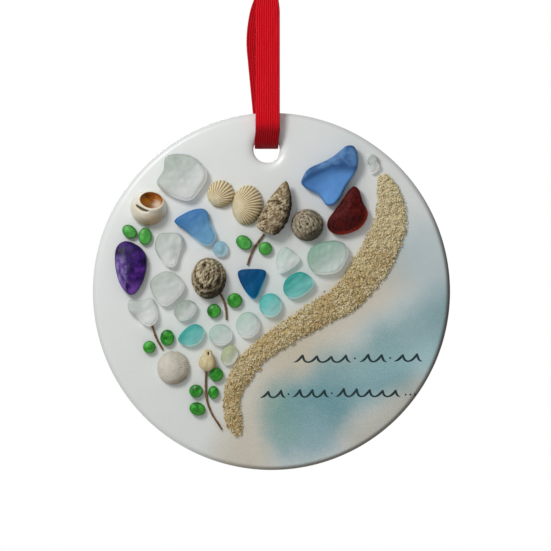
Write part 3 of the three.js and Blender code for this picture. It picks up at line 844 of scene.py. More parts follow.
def frost_finish(name, tint, depths, edge_share=0.8, veins=0.03, pits=0.4, see_through=0.12, sheen=0.4):
    """Frosted glass of one tint, softened by light that spreads inside it. The depths are those of
    its shaded side, its lit side and its far edge."""
    finish, tree, shader = new_glass(name, sheen, see_through, 0.35, 0.8 * MM, (1.0, 1.0, 1.0),
                                     Emission_Strength=EDGE_GLOW)
    shaded, lit, edge = (through(tint, depth) for depth in depths)
    frost = place_frost(tree, Shaded=shaded, Lit=lit, Edge=edge, Edge_Share=edge_share, Veins=veins,
                        Pits=pits)
    # The painted glow along the far edge is given out as emission.
    finish_inputs(tree, shader, Base_Color=frost["Colour"], Roughness=frost["Roughness"],
                  Normal=frost["Normal"], Emission_Color=frost["Glow"])
    return finish


def glass_marks(plan, from_edge, towards=(0.62, -0.78)):
    """The two attributes that frost reads: how far a place lies towards the far edge, from -1 to 1,
    and its distance from the edge in millimetres."""
    along = (plan - plan[-1].mean(0)) @ np.array(towards)
    return {"across": along / np.abs(along).max(), "rim": from_edge}


# family: slot, tint of one depth of glass, and the depths on the shaded side, lit side and far edge
GLASS_FAMILIES = {
    "clear": ("clear_sea_glass", "e2e7e2", (2.2, 0.45, 0.2)),
    "pale_green": ("pale_green_sea_glass", "dae9e1", (2.0, 0.45, 0.2)),
    "olive": ("pale_green_sea_glass", "dde2c8", (2.0, 0.7, 0.4)),
    "pale_blue": ("pale_blue_sea_glass", "a4ccdc", (1.2, 0.9, 0.4)),
    "cornflower": ("cornflower_sea_glass", "60a2d2", (1.55, 0.75, 0.4)),
    "aqua": ("aqua_sea_glass", "74d6d0", (1.7, 0.55, 0.3)),
    "deep_blue": ("deep_blue_sea_glass", "006498", (1.2, 1.0, 0.7)),
}

# node: family, depth of the piece, crown in millimetres
SEA_GLASS = {
    "glass_clear_large": ("clear", 1.0, 0.35),
    "glass_clear_upper": ("clear", 0.9, 0.3),
    "glass_clear_middle": ("clear", 0.9, 0.3),
    "glass_clear_small": ("clear", 1.5, 0.25),
    "glass_petal": ("clear", 0.7, 0.3),
    "glass_flake": ("clear", 0.6, 0.2),
    "glass_pale_round": ("pale_green", 0.9, 0.3),
    "glass_pale_egg": ("pale_green", 0.8, 0.3),
    "glass_pale_leaf": ("olive", 1.0, 0.3),
    "glass_pale_green_small": ("pale_green", 0.6, 0.2),
    "glass_pale_green_large": ("pale_green", 1.6, 0.25),
    "glass_pale_blue": ("pale_blue", 1.0, 0.4),
    "glass_cornflower": ("cornflower", 1.0, 0.3),
    "glass_aqua_leaf": ("aqua", 1.25, 0.4),
    "glass_aqua_round": ("aqua", 0.8, 0.35),
    "glass_aqua_drop": ("aqua", 1.35, 0.35),
    "glass_deep_blue": ("deep_blue", 1.0, 0.25),
}
DARK_SHEEN = 0.12
GLASS_EDGE_SHARE = 0.36
GLASS_WAVINESS = 0.12


def tumbled(node, samples, edge, crown, seed, waviness):
    """Plan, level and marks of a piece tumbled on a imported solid's outline and height."""
    plan, level, from_edge = tumbled_rings(widest_outline(node, samples), piece_height(node), edge,
                                           crown, seed, waviness)
    return plan, level, glass_marks(plan, from_edge)


for seed, (node, (family, piece_depth, crown)) in enumerate(SEA_GLASS.items()):
    slot, tint, depths = GLASS_FAMILIES[family]
    looks = {"see_through": 0.3, "pits": 1.0, "veins": 0.12} if node == "glass_flake" else {}
    looks["sheen"] = DARK_SHEEN if family == "deep_blue" else 0.4
    finish = frost_finish(node + "_frost", tint, [piece_depth * depth for depth in depths], **looks)
    plan, level, marks = tumbled(node, 96, GLASS_EDGE_SHARE * piece_height(node), crown, seed,
                                 GLASS_WAVINESS)
    glue_down(laid(node + "_tumbled", plan, level, finish, marks), slot, node)

# ---------------------------------------------------------------- cobalt, red and purple glass
# The three boldest pieces. The cobalt one is a thick bottle shoulder with an old fracture ledge
# across its upper half. The red one is dark and finely pitted. The purple one is smooth and
# clouded with lavender along its left side.

LEDGE_LINE = np.array([(6.6, 23.4), (9.5, 25.1), (12.9, 26.4), (18.4, 25.9)])
LEDGE_STEP = 0.5


def below_ledge(plan):
    """Distance of plan places below the fracture line, in millimetres."""
    return np.interp(plan[..., 0], LEDGE_LINE[:, 0], LEDGE_LINE[:, 1]) - plan[..., 1]


def cobalt_finish():
    finish, tree, shader = new_glass("cobalt_frost", 0.3, 0.1, 0.35, 1.0 * MM, (0.6, 0.8, 1.0))
    # Painted shade and light, as in the frost group.
    frost = place_frost(tree, Shaded=linear("3a74b4"), Lit=linear("72b0f6"), Edge=linear("5488c6"),
                        Edge_Share=0.5, Veins=0.06, Pits=0.35)
    ledge = attribute(tree, "ledge")
    place = object_place(tree)
    haze = noise(tree, place, 330.0, 4.0, 0.65)
    upper = mix(tree, fade(tree, haze, 0.38, 0.66), "2f629c", "6496cc")
    colour = mix(tree, fade(tree, ledge, 0.4, -0.5), frost["Colour"], upper)
    # Painted shadow: a dark band along the fracture ledge, where its step casts shade.
    crease = times(tree, fade(tree, ledge, -1.3, -0.1), fade(tree, ledge, 1.8, 0.0))
    colour = mix(tree, times(tree, crease, 0.6), colour, "2c5c98")
    finish_inputs(tree, shader, Base_Color=colour, Roughness=frost["Roughness"], Normal=frost["Normal"])
    return finish


def cobalt_piece():
    """A tumbled piece whose top steps down by the ledge below the fracture line."""
    node = "glass_cobalt"
    height = piece_height(node)
    plan, level, marks = tumbled(node, 128, 0.9, 0.3, 40, 0.07)
    below = below_ledge(plan)
    high = smoothstep(level, 0.4 * height, 0.7 * height)
    stepped = level - LEDGE_STEP * smoothstep(below, -0.6, 0.5) * high
    return laid(node + "_tumbled", plan, stepped, cobalt_finish(), marks | {"ledge": below})


glue_down(cobalt_piece(), "cobalt_sea_glass", "glass_cobalt")


def pitted_red():
    """Very dark red glass: a painted glow of clear red at its lower right edge, away from the lamp, and
    a skin stippled with pits that carry painted bluish glints."""
    finish, tree, shader = new_glass("ruby_frost", DARK_SHEEN, 0.04, 0.25, 1.0 * MM, (1.0, 0.2, 0.1))
    place = object_place(tree)
    across, rim = attribute(tree, "across"), attribute(tree, "rim")
    cloud = noise(tree, place, 520.0, 4.0, 0.65)
    body = ramp(tree, cloud, [(0.32, "3c0806"), (0.5, "520c08"), (0.68, "68140c")])
    # Painted light: clear red glowing at the lower right edge.
    glow = times(tree, fade(tree, across, 0.1, 0.7), fade(tree, rim, 0.9, 0.15))
    body = mix(tree, times(tree, glow, 0.85), body, "a8301c")
    stipple = noise(tree, place, 2300.0, 2.0, 0.7)
    # Painted glints: bluish flecks on the stipple.
    body = mix(tree, fade(tree, stipple, 0.55, 0.68, 0.0, 0.4), body, "86404a")
    body = mix(tree, fade(tree, stipple, 0.46, 0.36, 0.0, 0.55), body, "2c0606")
    finish_inputs(tree, shader, Base_Color=body, Roughness=fade(tree, stipple, 0.35, 0.65, 0.5, 0.7),
                  Normal=bump(tree, stipple, 0.12 * MM, 0.7))
    return finish


def drawn_up(tree, place, share):
    """A place with its height scaled by a share, so that a pattern on it is drawn out upwards."""
    return add(tree, "VectorMath", {0: place, 1: (1.0, 1.0, share)}, "Vector", operation="MULTIPLY")


def clouded_purple():
    """Deep violet glass, clouded: lavender streaks down the left side and at the foot, inky patches
    elsewhere, and a thin line of painted shade all round where the edge turns away."""
    finish, tree, shader = new_glass("violet_glass", 0.18, 0.05, 0.3, 1.0 * MM, (0.8, 0.3, 1.0),
                                     Coat_Weight=0.05, Coat_Roughness=0.35)
    place = object_place(tree)
    sideways, upwards, rim = attribute(tree, "sideways"), attribute(tree, "upwards"), attribute(tree, "rim")
    cloud = noise(tree, place, 520.0, 5.0, 0.68)
    body = ramp(tree, cloud, [(0.38, "14062e"), (0.47, "2a0c5c"), (0.56, "401472"), (0.7, "6c34a0")])
    streak = noise(tree, drawn_up(tree, place, 0.4), 700.0, 4.0, 0.6)
    facet = add(tree, "TexVoronoi", {"Vector": place, "Scale": 760.0}, "Distance")
    ragged = plus(tree, sideways, fade(tree, cloud, 0.35, 0.65, -0.22, 0.22))
    left = times(tree, fade(tree, ragged, -0.1, -0.7), fade(tree, streak, 0.32, 0.58))
    left = times(tree, left, fade(tree, upwards, 0.55, 0.1))
    body = mix(tree, times(tree, left, 0.75), body, "b49ce4")
    low = times(tree, fade(tree, upwards, -0.35, -0.85), fade(tree, streak, 0.3, 0.5))
    body = mix(tree, times(tree, low, 0.75), body, "8850bc")
    # Painted shade: a thin dark line all round the edge.
    outline = times(tree, fade(tree, rim, 0.32, 0.08), 0.75)
    body = mix(tree, outline, body, "1d0c38")
    finish_inputs(tree, shader, Base_Color=body, Roughness=fade(tree, cloud, 0.3, 0.7, 0.42, 0.55),
                  Normal=bump(tree, facet, 0.03 * MM, 0.3, bump(tree, cloud, 0.12 * MM, 0.5)))
    return finish


for node, slot, finish, crown, seed in (
        ("glass_red", "red_sea_glass", pitted_red(), 0.7, 51),
        ("glass_purple", "purple_glass", clouded_purple(), 0.7, 57)):
    plan, level, marks = tumbled(node, 128, 1.0, crown, seed, 0.08)
    span = plan - plan[-1].mean(0)
    marks |= {"sideways": span[..., 0] / np.abs(span[..., 0]).max(),
              "upwards": span[..., 1] / np.abs(span[..., 1]).max()}
    glue_down(laid(node + "_tumbled", plan, level, finish, marks), slot, node)

# ---------------------------------------------------------------- leaves
# Drops of green glass pressed flat while hot, set in pairs beside the twigs as leaves. They are
# shinier than the sea glass and a little uneven inside.

LEAF_COUNT = 12
LEAF_SEED = 80


def leaf_finish():
    finish, tree, shader = new_glass("leaf_glass", 0.3, 0.1, 0.3, 0.6 * MM, (0.5, 1.0, 0.4),
                                     Coat_Weight=0.08, Coat_Roughness=0.3)
    place = object_place(tree)
    across, rim = attribute(tree, "across"), attribute(tree, "rim")
    swirl = noise(tree, place, 800.0, 3.0, 0.6)
    body = ramp(tree, swirl, [(0.34, "12640a"), (0.5, "2c9c20"), (0.66, "58cc46")])
    # Painted light: paler towards the edge away from the lamp.
    body = mix(tree, fade(tree, across, -0.1, 1.0, 0.0, 0.55), body, "6cc45c")
    up = add(tree, "SeparateXYZ", {0: place}, 2)
    higher = fade(tree, up, DISC_CENTRE.z - 6 * MM, DISC_CENTRE.z + 12 * MM, 0.0, 0.4)
    body = mix(tree, higher, body, "70cc6c")
    # Painted shade: darker all round the edge.
    body = mix(tree, times(tree, fade(tree, rim, 0.5, 0.1), 0.5), body, "226e1c")
    finish_inputs(tree, shader, Base_Color=body, Roughness=fade(tree, swirl, 0.3, 0.7, 0.3, 0.45),
                  Normal=bump(tree, swirl, 0.1 * MM, 0.5))
    return finish


leaf_glass = leaf_finish()
for number in range(1, LEAF_COUNT + 1):
    node = f"leaf_{number:02d}"
    plan, level, marks = tumbled(node, 64, 0.45, 0.18, LEAF_SEED + number, 0.05)
    glue_down(laid(node + "_drop", plan, level, leaf_glass, marks), "leaf_glass", node)

# ---------------------------------------------------------------- sand band
# Coarse beach sand poured along a brushed line of glue. A low bed of bonded sand carries
# thousands of loose-looking grains of quartz, shell and feldspar, which thin out at its edges.

# x, z and half width of the band at each station, in millimetres
SAND_STATIONS = [(23.3, 24.7, 0.7), (24.1, 23.2, 1.7), (24.9, 20.6, 2.5), (25.4, 16.4, 3.2), (24.5, 12, 3.6),
                 (20.7, 5, 3.8), (15.5, -1.5, 3.2), (10.6, -4.3, 2.9), (2.5, -9.3, 2.4), (-3.1, -13.3, 2.2),
                 (-7, -18.5, 2.2), (-8.4, -22.8, 1.8), (-8, -27.6, 1.7), (-6.6, -30.4, 0.7)]
BED_HEIGHT = 0.75
BED_SEED = 23
GRAIN_CEILING = 1.45
GRAIN_COUNT = 6200
GRAIN_RADIUS = (0.13, 0.3)
STRAY_COUNT = 9
STRAY_PLACE = np.array([-2.5, -16.6])


def sand_finish():
    """Grains of mixed tan, cream, brown and clear quartz. Each grain has its own tint value."""
    finish, tree, shader = new_finish("dry_sand", Specular_IOR_Level=0.25, Subsurface_Weight=0.15,
                                      Subsurface_Scale=0.4 * MM, Subsurface_Radius=(1.0, 0.8, 0.6))
    place = object_place(tree)
    speck = noise(tree, place, 2600.0, 3.0, 0.7)
    tint = plus(tree, attribute(tree, "tint"), maths(tree, "MULTIPLY_ADD", speck, 0.3, -0.15))
    patch = noise(tree, place, 240.0, 2.0)
    colour = ramp(tree, tint, [(0.02, "8a7040"), (0.2, "c6b07c"), (0.45, "e4d4a8"), (0.62, "f0e6c4"),
                               (0.8, "e2c298"), (0.9, "f2e8ca"), (1.0, "f8f2e0")])
    colour = mix(tree, fade(tree, patch, 0.4, 0.65, 0.0, 0.35), colour, "c09c5c")
    up = add(tree, "SeparateXYZ", {0: place}, 2)
    colour = mix(tree, fade(tree, up, DISC_CENTRE.z, DISC_CENTRE.z + 20 * MM, 0.0, 0.4), colour, "f6ecc8")
    finish_inputs(tree, shader, Base_Color=colour, Roughness=fade(tree, tint, 0.2, 1.0, 0.85, 0.4),
                  Normal=bump(tree, speck, 0.06 * MM, 0.6))
    return finish


def sand_frames(samples):
    """Middle line, sideways unit and half width along the band."""
    line = smooth_line(SAND_STATIONS, samples)
    slope = unit(np.gradient(line[:, :2], axis=0))
    return line[:, :2], np.stack([-slope[:, 1], slope[:, 0]], -1), line[:, 2]


def sand_bed(finish):
    """A low mound: the section is half an ellipse over a flat base, its edges shifted by noise."""
    middle, sideways, half = sand_frames(260)
    angle = np.linspace(0, math.pi, 25)
    across = np.concatenate([np.cos(angle), np.linspace(-1, 1, 9)[1:-1]])
    rise = np.concatenate([np.sin(angle) ** 0.7, np.zeros(7)])
    ragged = half[:, None] * 0.93 * across
    plan = middle[:, None] + sideways[:, None] * ragged[..., None]
    plan = plan + 0.14 * np.stack([ripple(plan, 1.1, 21), ripple(plan, 1.1, 22)], -1)
    mound = BED_HEIGHT * rise * np.minimum(half, 1.5)[:, None] / 1.5
    level = BEDDING + mound * (1 + 0.2 * ripple(plan, 1.6, BED_SEED))
    tint = 0.3 + 0.12 * ripple(plan, 0.5, 24)
    return laid("sand_bed", plan, level, finish, {"tint": tint})


def grain_shape():
    """An icosahedron's 12 corners and 20 faces."""
    golden = (1 + math.sqrt(5)) / 2
    corners = unit([(-1, golden, 0), (1, golden, 0), (-1, -golden, 0), (1, -golden, 0), (0, -1, golden),
                    (0, 1, golden), (0, -1, -golden), (0, 1, -golden), (golden, 0, -1), (golden, 0, 1),
                    (-golden, 0, -1), (-golden, 0, 1)])
    faces = [(0, 11, 5), (0, 5, 1), (0, 1, 7), (0, 7, 10), (0, 10, 11), (1, 5, 9), (5, 11, 4), (11, 10, 2),
             (10, 7, 6), (7, 1, 8), (3, 9, 4), (3, 4, 2), (3, 2, 6), (3, 6, 8), (3, 8, 9), (4, 9, 5),
             (2, 4, 11), (6, 2, 10), (8, 6, 7), (9, 8, 1)]
    return corners, np.array(faces)


def turned(rng, count):
    """Random turning matrices, from random unit quaternions."""
    w, x, y, z = unit(rng.normal(size=(count, 4))).T
    entries = [1 - 2 * (y * y + z * z), 2 * (x * y - z * w), 2 * (x * z + y * w),
               2 * (x * y + z * w), 1 - 2 * (x * x + z * z), 2 * (y * z - x * w),
               2 * (x * z - y * w), 2 * (y * z + x * w), 1 - 2 * (x * x + y * y)]
    return np.stack(entries, -1).reshape(-1, 3, 3)


def sand_grains(finish):
    """Grains strewn over the bed: each a random place along and across the band, resting at the bed's
    height there, an icosahedron stretched at random, knocked out of true and turned at random."""
    rng = np.random.default_rng(7)
    middle, sideways, half = sand_frames(900)
    share = half / half.sum()
    station = rng.choice(len(half), GRAIN_COUNT, p=share)
    across = np.clip(rng.uniform(-1.02, 1.02, GRAIN_COUNT) + rng.normal(0, 0.05, GRAIN_COUNT), -1.25, 1.25)
    plan = middle[station] + sideways[station] * (half[station] * across)[:, None]
    plan += rng.normal(0, 0.08, plan.shape)
    stray = rng.choice(GRAIN_COUNT, STRAY_COUNT, replace=False)
    plan[stray] = STRAY_PLACE + rng.normal(0, 0.28, (STRAY_COUNT, 2))
    across[stray] = 1.0
    radius = rng.uniform(*GRAIN_RADIUS, GRAIN_COUNT) * np.where(np.abs(across) > 0.95, 0.85, 1.0)
    mound = np.sqrt(np.clip(1 - across ** 2, 0, 1)) ** 0.7 * np.minimum(half[station], 1.5) / 1.5
    mound = mound * (1 + 0.2 * ripple(plan, 1.6, BED_SEED))
    level = np.maximum(BED_HEIGHT * mound + rng.uniform(-0.25, 0.3, GRAIN_COUNT), radius * 0.6)
    level = np.minimum(level, GRAIN_CEILING - radius)
    corners, faces = grain_shape()
    knocked = corners[None] * rng.uniform(0.78, 1.15, (GRAIN_COUNT, 12, 1))
    stretched = knocked * rng.uniform(0.7, 1.2, (GRAIN_COUNT, 1, 3)) * radius[:, None, None]
    shaped = np.einsum("nij,nkj->nki", turned(rng, GRAIN_COUNT), stretched)
    points = on_face(plan[:, :1] + shaped[..., 0], plan[:, 1:] + shaped[..., 1],
                     level[:, None] + shaped[..., 2])
    all_faces = (faces[None] + 12 * np.arange(GRAIN_COUNT)[:, None, None]).reshape(-1, 3)
    tint = np.repeat(rng.beta(1.7, 1.9, GRAIN_COUNT), 12)
    return new_piece("sand_grains", points.reshape(-1, 3), all_faces.tolist(), finish, {"tint": tint},
                     smooth=False)


sand = sand_finish()
glue_down(sand_bed(sand), "dry_sand", "sand_band")
glue_down(sand_grains(sand), "dry_sand")

# ---------------------------------------------------------------- ribbed shells
# Two small scallops and a clam valve, glued cup down. Ribs fan out from the beak of each shell,
# with warm brown in the grooves and faint growth rings across them.


def shell_finish(name, ridge, groove, shade, ring_strength):
    """Chalky shell: pale on the ribs, warmer in the grooves, with growth rings that follow the
    distance from the beak, and painted shade low on the side that faces down."""
    finish, tree, shader = new_finish(name, Specular_IOR_Level=0.4, Subsurface_Weight=0.12,
                                      Subsurface_Scale=0.5 * MM, Subsurface_Radius=(1.0, 0.8, 0.6))
    place = object_place(tree)
    rib, reach, low = attribute(tree, "rib"), attribute(tree, "reach"), attribute(tree, "low")
    speck = noise(tree, place, 1500.0, 4.0, 0.7)
    colour = mix(tree, fade(tree, rib, 0.35, -0.75), ridge, groove)
    ring_place = add(tree, "CombineXYZ", {0: times(tree, reach, 9.0), 1: 0.0, 2: 0.0})
    rings = noise(tree, ring_place, 1.6, 4.0, 0.7)
    colour = mix(tree, fade(tree, rings, 0.45, 0.65, 0.0, ring_strength), colour, shade)
    # Painted shade: darker low on the side that faces down.
    colour = mix(tree, fade(tree, low, 0.45, 1.0, 0.0, 0.75), colour, shade)
    colour = mix(tree, 0.45, colour, ramp(tree, speck, [(0.3, "8a8680"), (0.5, "bcbab6"), (0.7, "e2e0dc")]),
                 "SOFT_LIGHT")
    finish_inputs(tree, shader, Base_Color=colour, Roughness=fade(tree, speck, 0.3, 0.7, 0.72, 0.5),
                  Normal=bump(tree, speck, 0.05 * MM, 0.6))
    return finish


def drawn_to(apex, outline, rows):
    """Shares from an apex out to an outline, closer together near the outline, and their places."""
    share = np.sin(np.linspace(0, math.pi / 2, rows)[1:])[:, None, None]
    return share, apex + share * (outline - apex)


def dome(plan, outline, height, side, power):
    """An ellipsoid over an outline: its middle and half size, each place's offset in halves, the share
    of height left there, and the level, which stands on a straight side and follows a power."""
    middle, half = outline.mean(0), np.ptp(outline, axis=0) / 2
    offset = (plan - middle) / half
    edge = np.linalg.norm((outline - middle) / half, axis=-1)
    round_off = np.clip(1 - (np.linalg.norm(offset, axis=-1) / edge) ** 2, 0, 1)
    return middle, half, offset, round_off, BEDDING + side + (height - side) * round_off ** power


def valve_piece(name, node, beak, fan_towards, fan_half, rib_count, rib_depth, finish, seed):
    """A cup-shaped valve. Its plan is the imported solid's outline drawn towards the beak, and its
    height is an ellipsoid's. Ribs are a cosine of the angle round the beak, deepening with distance
    from it, and fade out beyond the fan."""
    outline, height = widest_outline(node, 360), piece_height(node)
    share, plan = drawn_to(beak, outline, 40)
    middle, half, offset, _, level = dome(plan, outline, height, 0.25, 0.52)
    angle = np.arctan2(outline[:, 1] - beak[1], outline[:, 0] - beak[0])
    turn = (angle - math.radians(fan_towards) + math.pi) % (2 * math.pi) - math.pi
    in_fan = smoothstep(np.abs(turn), math.radians(fan_half + 14), math.radians(fan_half - 6))
    depth = smoothstep(share[..., 0], 0.08, 0.6)
    rib = np.cos(rib_count * turn)[None, :] * in_fan[None, :] * depth
    away = unit(np.concatenate([offset / half, (level[..., None] / height ** 2) * 1.5], -1))
    moved = rib_depth * rib + 0.03 * ripple(plan, 1.4, seed)
    plan = plan + away[..., :2] * moved[..., None]
    level = level + away[..., 2] * moved
    foot = plan[-1:]
    inner = middle + np.array([0.9, 0.5, 0.15])[:, None, None] * (foot - middle)
    plan = np.concatenate([plan, foot, inner])
    level = np.concatenate([level, np.full((4, level.shape[1]), BEDDING)])
    rib = np.concatenate([rib, np.repeat(rib[-1:], 4, 0)])
    reach = np.concatenate([share[..., 0], np.ones((4, 1))])
    # Which side faces down, for the painted shade.
    towards_low = (plan - middle) / half @ np.array([0.35, -0.94])
    marks = {"rib": rib, "reach": reach, "low": towards_low}
    return laid(name, plan, level, finish, marks)


scallop_cream = shell_finish("scallop_cream", "f0e4c4", "b89a64", "96825a", 0.15)
clam_grey = shell_finish("clam_grey", "e8e2d6", "bab09c", "8e7a62", 0.25)

# node: ending of its name, beak, the fan's middle and half angle in degrees, ribs, rib depth, finish
VALVES = {
    "scallop_small": ("ribbed", (-12.3, 19.2), 44, 66, 36, 0.09, scallop_cream),
    "scallop_large": ("ribbed", (-7.7, 18.1), 6, 68, 46, 0.09, scallop_cream),
    "clam_shell": ("lined", (-22.0, -15.6), 12, 62, 60, 0.03, clam_grey),
}
VALVE_SEED = 31

for seed, (node, (ending, *shape)) in enumerate(VALVES.items(), VALVE_SEED):
    glue_down(valve_piece(f"{node}_{ending}", node, *shape, seed), "cream_shell", node)

# ---------------------------------------------------------------- moon snail
# A small moon snail with its mouth to the front. The mouth is an oval bowl stained orange-brown
# inside, with a thick cream lip, and a narrow slit lies beside the lip on the lower left.

SNAIL_MOUTH = np.array([0.75, 1.6])
SNAIL_MOUTH_HALF = np.array([2.4, 1.75])
SNAIL_BOWL_DEPTH = 2.1
SNAIL_LIP_RISE = 0.4
SNAIL_SLIT_DEPTH = 0.9
SNAIL_COLUMNS = 160
SNAIL_SLIT = np.array([(-2.3, 0.45), (-1.5, -0.1), (-0.7, -0.5), (0.1, -0.7)])


def snail_finish():
    finish, tree, shader = new_finish("moon_snail_shell", Specular_IOR_Level=0.5, Subsurface_Weight=0.1,
                                      Subsurface_Scale=0.6 * MM, Subsurface_Radius=(1.0, 0.8, 0.6),
                                      Coat_Weight=0.15, Coat_Roughness=0.3)
    place = object_place(tree)
    inside, low, slit = attribute(tree, "inside"), attribute(tree, "low"), attribute(tree, "slit")
    bowl_highlight = attribute(tree, "bowl_highlight")
    cloud = noise(tree, place, 380.0, 4.0, 0.6)
    body = mix(tree, fade(tree, cloud, 0.35, 0.68), "f0e6d0", "fcf8ec")
    # Painted shade: the body turns tan low down, on the side away from the lamp.
    body = mix(tree, fade(tree, low, 0.15, 0.95, 0.0, 0.85), body, "b0864a")
    body = mix(tree, fade(tree, attribute(tree, "lip"), 0.2, 0.8, 0.0, 0.85), body, "fbf0da")
    # Painted shade: the slit is dark.
    body = mix(tree, fade(tree, slit, 0.3, 0.8), body, "5c5236")
    streak = noise(tree, place, 620.0, 4.0, 0.65)
    bowl = ramp(tree, streak, [(0.3, "5e3602"), (0.46, "9a5a08"), (0.58, "b66c0c"), (0.72, "c88c3c")])
    # Painted highlight: a pale spot inside the bowl at its lower right.
    bowl = mix(tree, fade(tree, bowl_highlight, 0.05, 1.0), bowl, "f4dcc0")
    colour = mix(tree, fade(tree, inside, 0.35, 0.65), body, bowl)
    finish_inputs(tree, shader, Base_Color=colour, Roughness=fade(tree, cloud, 0.3, 0.7, 0.5, 0.35),
                  Normal=bump(tree, cloud, 0.05 * MM, 0.4))
    return finish


def snail_piece():
    """Nested ovals: from the bottom of the bowl up to the lip, over the lip, then out to the shell's
    own outline, round its side and under. The shell's height is an ellipsoid's, the bowl falls away
    as a parabola, the lip is a low ridge, and the slit is a dip along a curve, widest part way."""
    node = "moon_snail"
    outline, height = widest_outline(node, SNAIL_COLUMNS), piece_height(node)
    middle = outline.mean(0)
    half = np.ptp(outline, axis=0) / 2
    turn = np.arctan2(outline[:, 1] - middle[1], outline[:, 0] - middle[0])
    mouth_centre = middle + SNAIL_MOUTH
    oval = np.stack([SNAIL_MOUTH_HALF[0] * np.cos(turn), SNAIL_MOUTH_HALF[1] * np.sin(turn)], -1)
    oval = oval @ np.array([[0.98, -0.14], [0.14, 0.98]])
    lip = mouth_centre + oval

    def shell_level(plan):
        round_off = np.clip(1 - (((plan - middle) / half) ** 2).sum(-1), 0, 1)
        return BEDDING + 0.3 + (height - 0.3) * round_off ** 0.5

    inner_share = np.linspace(0.08, 1, 18)[:, None, None]
    bowl = mouth_centre + inner_share * oval
    bowl_level = shell_level(lip)[None] - SNAIL_BOWL_DEPTH * (1 - inner_share[..., 0] ** 2.4) * np.minimum(
        1, (shell_level(lip)[None] - 0.3) / 2.6)
    outer_share = np.linspace(0, 1, 40)[1:-1]
    outer_share = np.sin(outer_share * math.pi / 2)[:, None, None]
    body = lip + outer_share * (outline - lip)
    body_level = shell_level(body)
    from_lip = np.linalg.norm(body - lip, axis=-1)
    lip_mark = np.exp(-((from_lip - 0.4) / 0.38) ** 2)
    body_level = body_level + SNAIL_LIP_RISE * lip_mark
    slit_line = middle + smooth_line(SNAIL_SLIT, 40)
    slit_width = 0.14 + 0.22 * np.sin(np.linspace(0.3, math.pi - 0.2, 40))
    from_slit = np.linalg.norm(body[..., None, :] - slit_line, axis=-1) / slit_width
    slit = np.exp(-from_slit.min(-1) ** 2)
    body_level = body_level - SNAIL_SLIT_DEPTH * slit
    foot = outline[None]
    under = middle + np.array([0.85, 0.4])[:, None, None] * (outline - middle)
    plan = np.concatenate([bowl, body, foot, foot, under])
    level = np.concatenate([bowl_level, body_level, np.full((1, SNAIL_COLUMNS), BEDDING + 0.3),
                            np.full((3, SNAIL_COLUMNS), BEDDING)])
    inside = np.concatenate([np.ones(17), [0.5], np.zeros(len(body) + 4)])[:, None]
    # Where the painted highlight sits inside the bowl.
    bowl_highlight_at = mouth_centre + np.array([1.15, -0.85])
    bowl_highlight = np.exp(-(np.linalg.norm(plan - bowl_highlight_at, axis=-1) / 1.0) ** 2)
    low = (plan - middle) / half @ np.array([0.3, -0.95])
    slit_mark = np.zeros(level.shape)
    slit_mark[len(bowl):len(bowl) + len(body)] = slit
    lip_ring = np.zeros(level.shape)
    lip_ring[len(bowl):len(bowl) + len(body)] = lip_mark
    marks = {"inside": inside, "low": low, "slit": slit_mark, "bowl_highlight": bowl_highlight, "lip": lip_ring}
    return laid("moon_snail_shell", plan, level, snail_finish(), marks)


glue_down(snail_piece(), "cream_shell", "moon_snail")

# ---------------------------------------------------------------- rough brown shells
# A periwinkle, a top shell and a long spire shell, worn and crusted. Each winds in a spiral of low
# ridges, broken by knobs and pits, and is darker in the hollows.


FIBRE_SLANT = math.radians(62)


def crust_finish(name, dark, middle, pale, blush, flank=0.7, streaks=1.0):
    """Weathered shell: the colour follows the surface's own relief and a fine speckle, from dark
    hollows to pale ridges, with a warm blush in patches, and painted shade darkens it down the far
    flank. Streaks below one draw the speckle out into slanting lines."""
    finish, tree, shader = new_finish(name, Specular_IOR_Level=0.3)
    place = object_place(tree)
    relief, low = attribute(tree, "relief"), attribute(tree, "low")
    slant = add(tree, "Mapping", {"Vector": place, "Rotation": (0, math.pi / 2 - FIBRE_SLANT, 0),
                                  "Scale": (1, 1, 1 / streaks)}, vector_type="TEXTURE")
    speck = noise(tree, slant, 1700.0, 5.0, 0.72)
    tone = plus(tree, maths(tree, "MULTIPLY_ADD", relief, 0.75, 0.12),
                 maths(tree, "MULTIPLY_ADD", speck, 1.3, -0.65))
    colour = ramp(tree, tone, [(0.16, dark), (0.42, middle), (0.8, pale)])
    patch = noise(tree, place, 300.0, 3.0)
    colour = mix(tree, fade(tree, patch, 0.48, 0.68, 0.0, 0.5), colour, blush)
    # Painted shade: darker down the flank away from the lamp.
    colour = mix(tree, fade(tree, low, 0.0, 0.9, 0.0, flank), colour, dark)
    finish_inputs(tree, shader, Base_Color=colour, Roughness=fade(tree, speck, 0.3, 0.7, 0.85, 0.6),
                  Normal=bump(tree, speck, 0.16 * MM, 0.8))
    return finish


def knobbly(points, turns_phase, ridge, knob, seed, fine=1.0, fibre=1.0):
    """Relief in millimetres: a cosine ridge along a spiral that wanders a little, plus knobs of three
    sizes, finer as fine grows. Fibre below one draws the knobs out along the fibres' slant."""
    rise, run = math.sin(FIBRE_SLANT), math.cos(FIBRE_SLANT)
    place = points @ np.array([[run * fibre, -rise, 0], [rise * fibre, run, 0], [0, 0, 1]]) * fine
    spiral = ridge * np.cos(2 * math.pi * (turns_phase + 0.16 * ripple(points, 2.6, seed + 3)))
    rough = (ripple(place, 1.3, seed) + 0.8 * ripple(place, 0.62, seed + 1)
             + 0.55 * ripple(place, 0.36, seed + 2))
    return spiral + knob * rough


